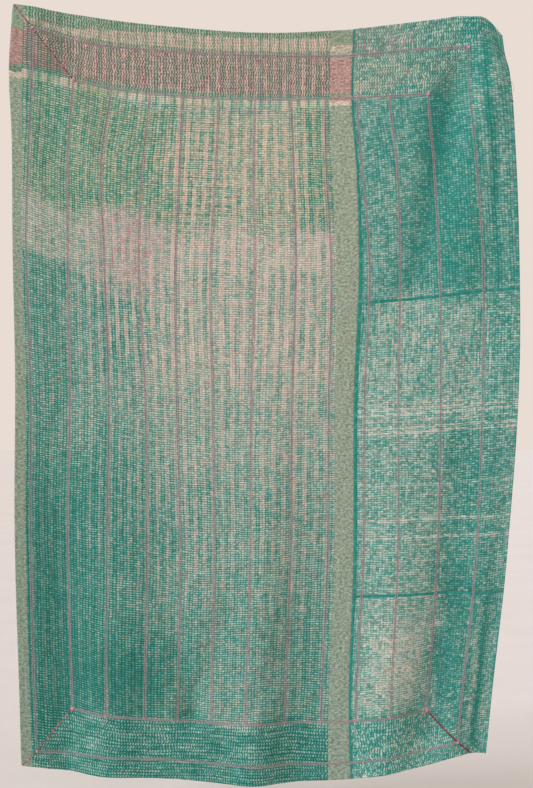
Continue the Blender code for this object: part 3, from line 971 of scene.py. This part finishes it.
# Noises that pale the cloth in slubs 12 by 4 mm, in patches 33 by 18 mm and in upright streaks
# 4 by 80 mm: stretch, from, to, reach, and which strength of the weave holds it back
PALE_NOISES = (((85.0, 250.0), 0.55, 0.69, 0.60, "X"), ((30.0, 55.0), 0.62, 0.70, 0.50, "X"),
               ((240.0, 13.0), 0.58, 0.68, 0.65, "Y"))
# Place down the lower lengths, in metres below the upper join, and how pale, of each rubbed band
RUBBED_BANDS = ((0.322, "#A0A0A0"), (0.340, "#D0D0D0"), (0.355, "#FFFFFF"), (0.375, "#B0B0B0"),
                (0.396, "#F0F0F0"), (0.411, "#FFFFFF"), (0.571, "#B0B0B0"), (0.677, "#F0F0F0"),
                (0.730, "#F0F0F0"), (0.960, "#909090"))
RUBBED_HALF = 0.006
FRAY = 0.010
# Which way each folded edge is measured, where it starts, and half its share that is plain
FOLDED_EDGES = (("X", LONG_JOIN, 0.52), ("Y", UPPER_JOIN, 0.40), ("Y", LOWER_JOIN, 0.40))


def teal_details(add, flat, weave, worn):
    """The plain folded edges, pale slubs along the weft, rubbed bands and upright streaks."""
    place = add("SeparateXYZ", flat)
    for stretch, low, high, reach, strength in PALE_NOISES:
        slub = stretched_noise(add, flat, stretch, 2.0, 0.6)
        slub = add("MapRange", slub, low, high, 0.0, reach)
        worn = add("Math", slub, weave.outputs[strength], worn, operation="MULTIPLY_ADD")

    # Rubbed bands across the lower lengths, frayed by a noise 28 by 6 mm
    fray = stretched_noise(add, flat, (36.0, 170.0), 3.0)
    rubbed = add("Math", fray, FRAY, place.outputs["Y"], operation="MULTIPLY_ADD")
    rubbed = add("MapRange", rubbed, UPPER_JOIN + 0.5 * FRAY, UPPER_JOIN + 0.5 * FRAY + 1.0)
    rubbed = add("ValToRGB", rubbed, stops=[
        (centre + offset, shade) for centre, level in RUBBED_BANDS
        for offset, shade in ((-RUBBED_HALF, "#000000"), (0.0, level), (RUBBED_HALF, "#000000"))])
    breaks = add("MapRange", fray, 0.40, 0.54)
    rubbed = add("Math", rubbed, breaks, operation="MULTIPLY")
    worn = add("Math", rubbed, 0.9, worn, operation="MULTIPLY_ADD")

    # The folded edges are plain cloth that keeps its dye, with rubbed spots 18 mm wide
    plain = None
    for axis, start, half in FOLDED_EDGES:
        over = add("Math", place.outputs[axis], start + 0.5 * FOLDED_EDGE, operation="SUBTRACT")
        over = add("Math", over, operation="ABSOLUTE")
        over = add("MapRange", over, (half + 0.04) * FOLDED_EDGE, (half - 0.04) * FOLDED_EDGE)
        plain = add("Math", plain, over, operation="MAXIMUM") if plain else over
    rub = add("TexNoise", flat, 55.0, 3.0)
    edge_colour = add("ValToRGB", rub, stops=((0.3, "#17766A"), (0.55, "#218075"),
                                              (0.75, "#4F998B")))

    def cover(colour):
        return add("Mix", plain, colour, edge_colour, data_type="RGBA")

    def unchanged(colour):
        return colour

    return {"worn": worn, "ground": unchanged, "crest": unchanged, "cover": cover, "plain": plain}


teal_cotton = quilted_cotton("over_dyed_teal_cotton", RIGHT_GROUND, RIGHT_CREST, RIGHT_REACHES,
                             RIGHT_FLATNESS, teal_details)
# piece, the node that it replaces, slot, from and to down
RIGHT_CLOTHS = (
    ("right_cloth_top", "right_panel_top", "teal_cotton", 0.0, UPPER_JOIN - half_gap),
    ("right_cloth_middle", "right_panel_middle", "worn_teal_cotton", UPPER_JOIN + half_gap,
     LOWER_JOIN - half_gap),
    ("right_cloth_bottom", "right_panel_bottom", "pale_teal_cotton", LOWER_JOIN + half_gap,
     CLOTH_LENGTH),
)
for cloth_name, node_name, slot_name, cloth_top, cloth_bottom in RIGHT_CLOTHS:
    cloth = cloth_sheet(cloth_name, LONG_JOIN + half_gap, CLOTH_WIDTH, cloth_top, cloth_bottom,
                        RIGHT_WEAR, RIGHT_FOLD_LIGHT_SHADE_AND_STRIPES, RIGHT_WEAVE)
    cloth.data.materials.append(teal_cotton)
    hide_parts(node_name)


# ---- The quilting stitches ------------------------------------------------------------------
# Short running stitches of cotton thread, pulled down between the puckers, in rows a finger's
# breadth apart. The rows run down the field and the side borders, and turn at the mitres to run
# along the top and bottom. Each stitch is one small grain that dips into the cloth at its ends.
STITCH_LENGTH = 0.0039
THREAD_WIDTH = 0.0014
THREAD_HEIGHT = 0.0007
CLEAR_OF_LINES = 0.0062
CLEAR_OF_EDGES = 0.015
# How far ahead a thread's heading is looked up on the cloth, and how far it lies off the cloth
LOOK_AHEAD = 0.002
GRAIN_LIFT = 0.0001
# The corners of a grain's six faces: tips 0 and 1, then the left, top and right of its middle
GRAIN_FACES = np.array([(0, 2, 3), (0, 3, 4), (0, 4, 2), (1, 3, 2), (1, 4, 3), (1, 2, 4)])
GRAIN_LIE = ((1.0, 0.0), (-1.0, 0.0), (0.0, 1.0), (0.0, 0.0), (0.0, -1.0))
# Place of each face corner within its stitch's own cell of the map: two fans side by side
GRAIN_UV = np.array([
    (0.5, 0.95), (0.25, 0.5), (0.5, 0.5), (0.5, 0.95), (0.5, 0.5), (0.75, 0.5),
    (0.5, 0.95), (0.75, 0.5), (0.98, 0.5), (0.5, 0.05), (0.5, 0.5), (0.25, 0.5),
    (0.5, 0.05), (0.75, 0.5), (0.5, 0.5), (0.5, 0.05), (0.98, 0.5), (0.75, 0.5)])


def thread_piece(name, points, faces, uv, thread, lie, cotton):
    """A piece of thread, with its tone, its chance and where each point lies on the twist."""
    piece = mesh_piece(name, points, faces, uv)
    store(piece, "thread", thread)
    store(piece, "lie", lie)
    piece.data.materials.append(cotton)
    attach(piece, "root")


def thread_grains(name, across, down, heading, sizes, thread, cotton, side=1.0):
    """Thread showing on the cloth, one closed grain of six faces for each flat place.

    A grain has a tip at each end, sunk a little, and left, top and right points at its middle,
    laid out along its heading, the cloth's normal and the cross product of the two.
    """
    places, normals = on_cloth(across, down, side)
    ahead, _ = on_cloth(across + heading[:, 0] * LOOK_AHEAD, down + heading[:, 1] * LOOK_AHEAD,
                        side)
    along = ahead - places
    along -= normals * (along * normals).sum(axis=1)[:, None]
    along /= np.linalg.norm(along, axis=1)[:, None]
    sideways = np.cross(normals, along)
    reach, spread, rise = ((size * scale)[:, None] for size, scale in zip(sizes, (0.5, 0.5, 1.0)))
    places = places + normals * GRAIN_LIFT
    points = np.stack([
        places + along * reach - normals * rise * 0.35,
        places - along * reach - normals * rise * 0.35,
        places + sideways * spread,
        places + normals * rise,
        places - sideways * spread], axis=1).reshape(-1, 3)
    count = len(across)
    faces = (GRAIN_FACES[None] + 5 * np.arange(count)[:, None, None]).reshape(-1, 3)
    cells = int(np.ceil(np.sqrt(count)))
    cell = np.stack([np.arange(count) % cells, np.arange(count) // cells], axis=1)
    uv = ((cell[:, None] + GRAIN_UV[None]) / cells).reshape(-1, 2)
    thread_piece(name, points, faces, uv, [np.repeat(column, 5) for column in thread],
                 np.tile(GRAIN_LIE, (count, 1)).T, cotton)


def row_places(turned):
    """Flat places of the stitches: whole counts of rows and puckers, less sway and drift."""
    pitch = BORDER_PUCKER_PITCH if turned else PUCKER_PITCH
    lengths = (CLOTH_LENGTH, CLOTH_WIDTH) if turned else (CLOTH_WIDTH, CLOTH_LENGTH)
    row, pucker = (grid.ravel().astype(float) for grid in np.meshgrid(
        np.arange(-2, lengths[0] / ROW_SPACING + 2), np.arange(-2, lengths[1] / pitch + 2)))
    targets = (row * ROW_SPACING, pucker * pitch)
    targets = targets[::-1] if turned else targets
    across, down = targets
    for _step in range(3):
        across, down = (targets[0] - waves(across, down, ROW_SWAY),
                        targets[1] - waves(across, down, PUCKER_DRIFT))
    from_edge = np.minimum.reduce([across, CLOTH_WIDTH - across, down, CLOTH_LENGTH - down])
    left_side, right_side = (np.interp(down, strip[:2], strip[2:])
                             for strip in (LEFT_STRIP, RIGHT_STRIP))
    strips = (across < left_side) | ((across > right_side) & (across < LONG_JOIN + FOLDED_EDGE))
    from_seam = np.minimum(np.abs(down - UPPER_JOIN - 0.5 * FOLDED_EDGE),
                           np.abs(down - LOWER_JOIN - 0.5 * FOLDED_EDGE))
    seams = (across > LONG_JOIN) & (from_seam < 0.8 * FOLDED_EDGE)
    kept = (from_edge > CLEAR_OF_EDGES) & ~strips & ~seams
    across, down = across[kept], down[kept]
    border = inside_turned_border(across, down) > 0.0
    kept = (border == turned) & (line_gap(across, down, stitched_runs()) > CLEAR_OF_LINES)
    return across[kept], down[kept]


def quilting(name, across, down, turned, seed, side=1.0):
    """A piece of running stitches, each a little uneven in place, length and heading."""
    chance = np.random.default_rng(seed)
    count = len(across)
    lean = chance.normal(0.0, 0.09, count)
    heading = np.stack([np.sin(lean), np.cos(lean)], axis=1)
    heading = heading[:, ::-1] if turned else heading
    across = across + chance.normal(0.0, 0.00035, count)
    down = down + chance.normal(0.0, 0.00035, count)
    sizes = (STITCH_LENGTH * chance.uniform(0.85, 1.2, count),
             THREAD_WIDTH * chance.uniform(0.9, 1.15, count),
             THREAD_HEIGHT * chance.uniform(0.8, 1.2, count))
    worn = np.where(across < LONG_JOIN, painted(across, down, LEFT_WEAR)[:, 0],
                    painted(across, down, RIGHT_WEAR)[:, 0])
    thread_grains(name, across, down, heading, sizes, (worn, chance.random(count)), dyed_thread,
                  side)


def spun_thread(name, colour_stops, uneven=0.0):
    """Spun cotton thread, two-ply and matt: soft slanting bands of its twist catch the light.

    Its colour follows the thread's tone, and its own chance where the dye is uneven. The twist
    is a sine that turns along and across the grain, from the lie attribute.
    """
    material, shader, add = new_material(name)
    thread, lie = stored(add, "thread"), stored(add, "lie")
    tone = thread.outputs["X"]
    if uneven:
        chance = add("Math", thread.outputs["Y"], 0.5, operation="SUBTRACT")
        tone = add("Math", chance, uneven, tone, operation="MULTIPLY_ADD")
    colour = add("ValToRGB", tone, stops=colour_stops)
    slant = add("Math", lie.outputs["Y"], 2.2, operation="MULTIPLY")
    twist = add("Math", lie.outputs["X"], 9.0, slant, operation="MULTIPLY_ADD")
    twist = add("Math", twist, operation="SINE")
    tint = add("Math", twist, 0.10, 1.0, operation="MULTIPLY_ADD")
    colour = add("VectorMath", colour, tint, operation="MULTIPLY")
    bump = add("Bump", {"Strength": 0.5, "Distance": 0.0003, "Height": twist})
    links = material.node_tree.links
    links.new(colour.outputs[0], shader.inputs["Base Color"])
    links.new(bump.outputs[0], shader.inputs["Normal"])
    shader.inputs["Roughness"].default_value = 0.85
    shader.inputs["Specular IOR Level"].default_value = 0.25
    shader.inputs["Sheen Weight"].default_value = 0.15
    return material


# Deep teal where the cloth is fresh, to pale where it is worn
dyed_thread = spun_thread("dyed_quilting_thread", (
    (0.0, "#1C6E60"), (0.35, "#3B7E70"), (0.7, "#72917F"), (1.0, "#A3A592")), uneven=0.45)

field_across, field_down = row_places(False)
border_across, border_down = row_places(True)
in_field = ((field_across > ACROSS["inner left line"])
            & (field_across < ACROSS["inner right line"]))
left_part = field_across < ACROSS["line 5"]
right_part = field_across > LONG_JOIN
STITCH_GROUPS = (
    ("field_stitches_left", in_field & left_part),
    ("field_stitches_middle", in_field & ~left_part & ~right_part),
    ("field_stitches_right", in_field & right_part),
    ("side_border_stitches", ~in_field),
)
# The back shows the same rows, half a pucker on
for before, first_seed, shift, side in (("", 10, 0.0, 1.0), ("back_", 30, 0.5, -1.0)):
    for number, (group_name, chosen) in enumerate(STITCH_GROUPS):
        quilting(before + group_name, field_across[chosen],
                 field_down[chosen] + shift * PUCKER_PITCH, False, first_seed + number, side)
    quilting(before + "end_border_stitches", border_across + shift * BORDER_PUCKER_PITCH,
             border_down, True, first_seed + 10, side)


# ---- The mauve lines ------------------------------------------------------------------------
# Thick grey-mauve cotton worked over the quilting in chain-like rows: nine down the field, two
# frames round it and one along the right hem. Each link is a pair of short threads that slant
# in to the middle of the line. The back shows a plain running stitch along the same lines.
LINK_PITCH = 0.0035
LINK_LENGTH = 0.0086
LINK_WIDTH = 0.0027
LINK_HEIGHT = 0.0011
LINK_OFFSET = 0.0024
LINK_SLANT = np.radians(32.0)
RUNNING_HEIGHT = 0.0009


def places_along(run, pitch):
    """Evenly spaced flat places along a run, and the run's direction."""
    start, end = np.array(run, float)
    length = np.linalg.norm(end - start)
    direction = (end - start) / length
    distance = np.arange(0.5 * pitch, length, pitch)
    return start + distance[:, None] * direction, direction


def embroider(name, chance, places, headings, size, widest, tone, spread, side=1.0):
    """Grains of embroidery cotton, each a little uneven in length, width, height and tone."""
    count = len(places)
    length, width, height = size
    sizes = (length * chance.uniform(0.85, 1.15, count),
             width * chance.uniform(0.9, widest, count),
             height * chance.uniform(0.8, 1.2, count))
    shade = np.clip(tone + chance.normal(0.0, spread, count), 0.0, 1.0)
    thread_grains(name, *places.T, headings, sizes, (shade,), embroidery_thread, side)


def chain_links(name, runs, seed, tone):
    """Pairs of slanting grains along each run, one on each side of its middle."""
    chance = np.random.default_rng(seed)
    places, headings = [], []
    for run in runs:
        middle, direction = places_along(run, LINK_PITCH)
        normal = np.array([-direction[1], direction[0]])
        for side in (-1.0, 1.0):
            lean = LINK_SLANT + chance.normal(0.0, 0.10, len(middle))[:, None]
            headings.append(np.cos(lean) * direction - side * np.sin(lean) * normal)
            places.append(middle + normal * side * LINK_OFFSET
                          + chance.normal(0.0, 0.0003, middle.shape))
    embroider(name, chance, np.concatenate(places), np.concatenate(headings),
              (LINK_LENGTH, LINK_WIDTH, LINK_HEIGHT), 1.15, tone, 0.13)


def running_line(name, runs, seed, tone, side, pitch, share, width):
    """Single stitches end to end along each run, each as long as its share of the pitch."""
    chance = np.random.default_rng(seed)
    found = [places_along(run, pitch) for run in runs]
    headings = np.concatenate([np.tile(direction, (len(middle), 1))
                               for middle, direction in found])
    embroider(name, chance, np.concatenate([middle for middle, _direction in found]), headings,
              (pitch * share, width, RUNNING_HEIGHT), 1.1, tone, 0.09, side)


# Grey at the low end of the tones, mauve in the middle, then pink and crimson
embroidery_thread = spun_thread("mauve_embroidery_cotton", (
    (0.0, "#87928B"), (0.25, "#9A8F91"), (0.42, "#AA8E92"), (0.58, "#C4959C"),
    (0.72, "#E08C9A"), (0.86, "#964A5C"), (1.0, "#6B2A3E")))

hem_rectangle, outer_rectangle, inner_rectangle = frame_rectangles()
# name, runs, seed, tone
CHAIN_LINES = (
    ("mauve_field_lines_left", field_runs()[:4], 50, 0.33),
    ("mauve_field_lines_right", field_runs()[4:], 51, 0.33),
    ("mauve_inner_frame", rectangle_runs(*inner_rectangle), 52, 0.33),
    ("mauve_outer_frame", rectangle_runs(*outer_rectangle), 53, 0.25),
)
for line in CHAIN_LINES:
    chain_links(*line)
# name, runs, seed, tone, side, pitch, share of the pitch that a stitch is long, width
RUNNING_LINES = (
    ("mauve_hem_stitches", rectangle_runs(*hem_rectangle)[1:2], 54, 0.50, 1.0,
     0.0065, 0.8, 0.0026),
    ("back_mauve_lines",
     field_runs() + rectangle_runs(*inner_rectangle) + rectangle_runs(*outer_rectangle), 55, 0.27,
     -1.0, 0.0085, 0.62, 0.0018),
)
for line in RUNNING_LINES:
    running_line(*line)


# ---- The mitre threads, knots and tails -----------------------------------------------------
# Crimson and pink cotton sewn from corner to corner of the frames to close the mitred borders.
# It is tied off in small pink knots, some with a loose tail, where the frames turn and along
# the bottom line. The loose ends at the right hem are cut threads that hang.

# The grains of a mitre are so close that they overlap to a cord
MITRE_PITCH = 0.0036
MITRE_SHARE = 2.6
# name, side, end, where it starts at the edge, tone and width in mm
MITRES = (
    ("mitre_thread_top_left", 0, 0, (2, 3), 0.89, 5.0),
    ("mitre_thread_top_right", 1, 0, (1534, 3), 0.30, 2.8),
    ("mitre_thread_bottom_right", 1, 1, (1481, 2284), 1.0, 7.0),
    ("mitre_thread_bottom_left", 0, 1, (2, 2284), 0.88, 4.2),
)
for seed, (mitre_name, side, end, edge_place, tone, width) in enumerate(MITRES):
    (_, outer_corner), inner_run = mitre_runs(side, end)
    first_run = (np.array(edge_place) * MM, outer_corner)
    running_line(mitre_name, [first_run, inner_run], 60 + seed, tone, 1.0,
                 MITRE_PITCH, MITRE_SHARE, width * MM)

KNOT_LIFT = 0.0009
# across, down, size in mm, tone
KNOTS = (
    (46, 70, 7.0, 0.68), (167, 204, 10.4, 0.76), (1297, 204, 8.6, 0.73), (1427, 70, 6.8, 0.68),
    (167, 2108, 10.0, 0.74), (46, 2226, 7.0, 0.68), (1297, 2108, 10.0, 0.75),
    (1427, 2226, 7.2, 0.68), (1065, 204, 4.2, 0.68), (1168, 204, 3.8, 0.66),
    (286, 2108, 4.8, 0.66), (397, 2108, 4.0, 0.64), (493, 2108, 4.0, 0.64),
    (602, 2108, 3.6, 0.62), (720, 2108, 3.6, 0.62), (844, 2108, 3.6, 0.60),
    (956, 2108, 3.8, 0.62), (1065, 2108, 4.2, 0.64), (1168, 2108, 4.2, 0.66),
)


def two_triangles(quads):
    """Each four-sided face as two triangles."""
    quads = quads.reshape(-1, 4)
    return np.concatenate([quads[:, :3], quads[:, [0, 2, 3]]])


def thread_knots(name, table):
    """Tied knots: each an egg of rings and spokes, with a groove that winds round it twice."""
    rings, spokes = 9, 12
    polar = np.linspace(0.0, np.pi, rings)[1:-1]
    turn = np.arange(spokes) / spokes * 2.0 * np.pi
    polar, turn = (grid.ravel() for grid in np.meshgrid(polar, turn, indexing="ij"))
    lump = 1.0 + 0.14 * np.sin(2.0 * turn + 3.0 * polar)
    shape = np.concatenate([
        np.stack([lump * np.sin(polar) * np.cos(turn), lump * np.sin(polar) * np.sin(turn),
                  np.cos(polar)], axis=1), [(0.0, 0.0, 1.0)], [(0.0, 0.0, -1.0)]])
    body = np.arange((rings - 2) * spokes).reshape(rings - 2, spokes)
    ahead = np.roll(body, -1, axis=1)
    north, south = (np.full(spokes, len(shape) - back) for back in (2, 1))
    triangles = np.concatenate([
        two_triangles(np.stack([body[:-1], body[1:], ahead[1:], ahead[:-1]], axis=-1)),
        np.stack([north, body[0], ahead[0]], axis=1),
        np.stack([south, ahead[-1], body[-1]], axis=1)])

    across, down, size, tone = np.array(table, float).T
    across, down, size = across * MM, down * MM, size * MM
    places, normals = on_cloth(across, down)
    ahead, _ = on_cloth(across + LOOK_AHEAD, down)
    along = ahead - places
    along /= np.linalg.norm(along, axis=1)[:, None]
    sideways = np.cross(normals, along)
    axes = np.stack([along * 0.62, sideways * 0.55, normals * 0.34], axis=1)
    points = (places[:, None] + normals[:, None] * KNOT_LIFT
              + np.einsum("pk,nkc->npc", shape, axes) * size[:, None, None])
    faces = triangles[None] + len(shape) * np.arange(len(table))[:, None, None]
    thread_piece(name, points.reshape(-1, 3), faces.reshape(-1, 3), None,
                 (np.repeat(tone, len(shape)),),
                 (np.tile(shape[:, 2] * 2.0, len(table)),
                  np.tile(np.arctan2(shape[:, 1], shape[:, 0]), len(table))), embroidery_thread)


thread_knots("pink_knots", KNOTS)

# name, then across, down and lift off the cloth in mm for each point, and its tone
TAILS = (
    ("right_hem_tail_upper", 0.66, ((1527, 168, 1), (1534, 172, 2), (1539, 182, 3),
                                    (1541, 196, 3), (1538, 208, 3))),
    ("right_hem_tail_lower", 0.62, ((1526, 228, 1), (1532, 231, 2), (1536, 240, 3),
                                    (1533, 252, 3))),
    ("line_two_tail", 0.68, ((286, 2110, 2), (289, 2116, 3), (288, 2125, 3), (284, 2131, 2))),
    ("inner_corner_tail", 0.72, ((1297, 2110, 2), (1291, 2114, 3), (1287, 2122, 3),
                                 (1289, 2131, 2))),
)


def thread_tail(name, tone, route, radius=0.0007, steps=24, spokes=6):
    """A round thread carried along a smooth route, closed by a point at each end."""
    route = np.array(route, float) * MM
    knots = np.linspace(0.0, 1.0, len(route))
    flat = smooth(np.linspace(0.0, 1.0, steps), knots, route)
    places, normals = on_cloth(flat[:, 0], flat[:, 1])
    middle = places + normals * flat[:, 2:3]
    along = np.gradient(middle, axis=0)
    along /= np.linalg.norm(along, axis=1)[:, None]
    sideways = np.cross(normals, along)
    sideways /= np.linalg.norm(sideways, axis=1)[:, None]
    upright = np.cross(along, sideways)
    turn = np.arange(spokes) / spokes * 2.0 * np.pi
    rings = middle[:, None] + radius * (np.cos(turn)[None, :, None] * sideways[:, None]
                                        + np.sin(turn)[None, :, None] * upright[:, None])
    points = np.concatenate([rings.reshape(-1, 3), middle[:1] - along[:1] * radius,
                             middle[-1:] + along[-1:] * radius])
    body = np.arange(steps * spokes).reshape(steps, spokes)
    ahead = np.roll(body, -1, axis=1)
    first, last = (np.full(spokes, len(points) - back) for back in (2, 1))
    faces = np.concatenate([
        two_triangles(np.stack([body[:-1], ahead[:-1], ahead[1:], body[1:]], axis=-1)),
        np.stack([first, ahead[0], body[0]], axis=1),
        np.stack([last, body[-1], ahead[-1]], axis=1)])
    length = np.repeat(np.arange(steps) * 0.8, spokes)
    thread_piece(name, points, faces, None, (tone,),
                 (np.append(length, (0.0, length[-1])),
                  np.append(np.tile(turn, steps), (0.0, 0.0))), embroidery_thread)


for tail_name, tail_tone, tail_route in TAILS:
    thread_tail(tail_name, tail_tone, tail_route)


# ---- The studio -----------------------------------------------------------------------------
# A plain pale floor below the quilt, a pale surround and soft lamps. The camera stands square
# to the quilt's face, 4.5 m from it.
def plain_floor():
    """A wide flat floor of matt pale paint, with a faint mottle."""
    reach, level = 30.0, -2.42
    corners = np.array([(-reach, -reach, level), (reach, -reach, level),
                        (reach, reach, level), (-reach, reach, level)])
    floor = mesh_piece("floor", corners, np.array([(0, 1, 2, 3)]))
    material, shader, add = new_material("matt_pale_floor_paint")
    mottle = add("TexNoise", add("TexCoord").outputs["Object"], 3.0, 3.0)
    colour = add("ValToRGB", mottle, stops=((0.3, "#C4BCB7"), (0.7, "#C8C0BB")))
    material.node_tree.links.new(colour.outputs[0], shader.inputs["Base Color"])
    shader.inputs["Roughness"].default_value = 0.8
    floor.data.materials.append(material)
    return floor


plain_floor()

world = bpy.data.worlds.new("pale_surround")
world.use_nodes = True
world.node_tree.nodes["Background"].inputs["Color"].default_value = linear("#EBDED5")
world.node_tree.nodes["Background"].inputs["Strength"].default_value = 0.98
bpy.context.scene.world = world

LAMP_TINT = (0.91, 1.0, 1.10)
# name, the side the light comes from, strength, angle it spreads over
LAMPS = (
    ("key_light", (-1.55, -0.90, 0.85), 2.4, 32.0),
    ("fill_light", (1.20, -1.60, 0.10), 0.3, 60.0),
    ("back_light", (1.00, 1.60, 0.90), 1.4, 40.0),
)
for lamp_name, source, strength, spread in LAMPS:
    light = bpy.data.lights.new(lamp_name, "SUN")
    light.energy = strength
    light.angle = np.radians(spread)
    light.color = LAMP_TINT
    lamp = bpy.data.objects.new(lamp_name, light)
    bpy.context.scene.collection.objects.link(lamp)
    # Turn the light's own upward axis to its source
    source = np.array(source) / np.linalg.norm(source)
    lamp.rotation_mode = "QUATERNION"
    lamp.rotation_quaternion = (1.0 + source[2], -source[1], source[0], 0.0)

bpy.context.scene.view_settings.view_transform = "Standard"

CAMERA_DISTANCE = 4.5
FRAME_HEIGHT = 2.403
camera_data = bpy.data.cameras.new("camera")
camera_data.sensor_width = 36.0
camera_data.lens = camera_data.sensor_width * CAMERA_DISTANCE / FRAME_HEIGHT
camera = bpy.data.objects.new("camera", camera_data)
bpy.context.scene.collection.objects.link(camera)
camera.location = (0.008, -CAMERA_DISTANCE, -1.101)
camera.rotation_euler = (np.pi / 2.0, 0.0, 0.0)
bpy.context.scene.camera = camera
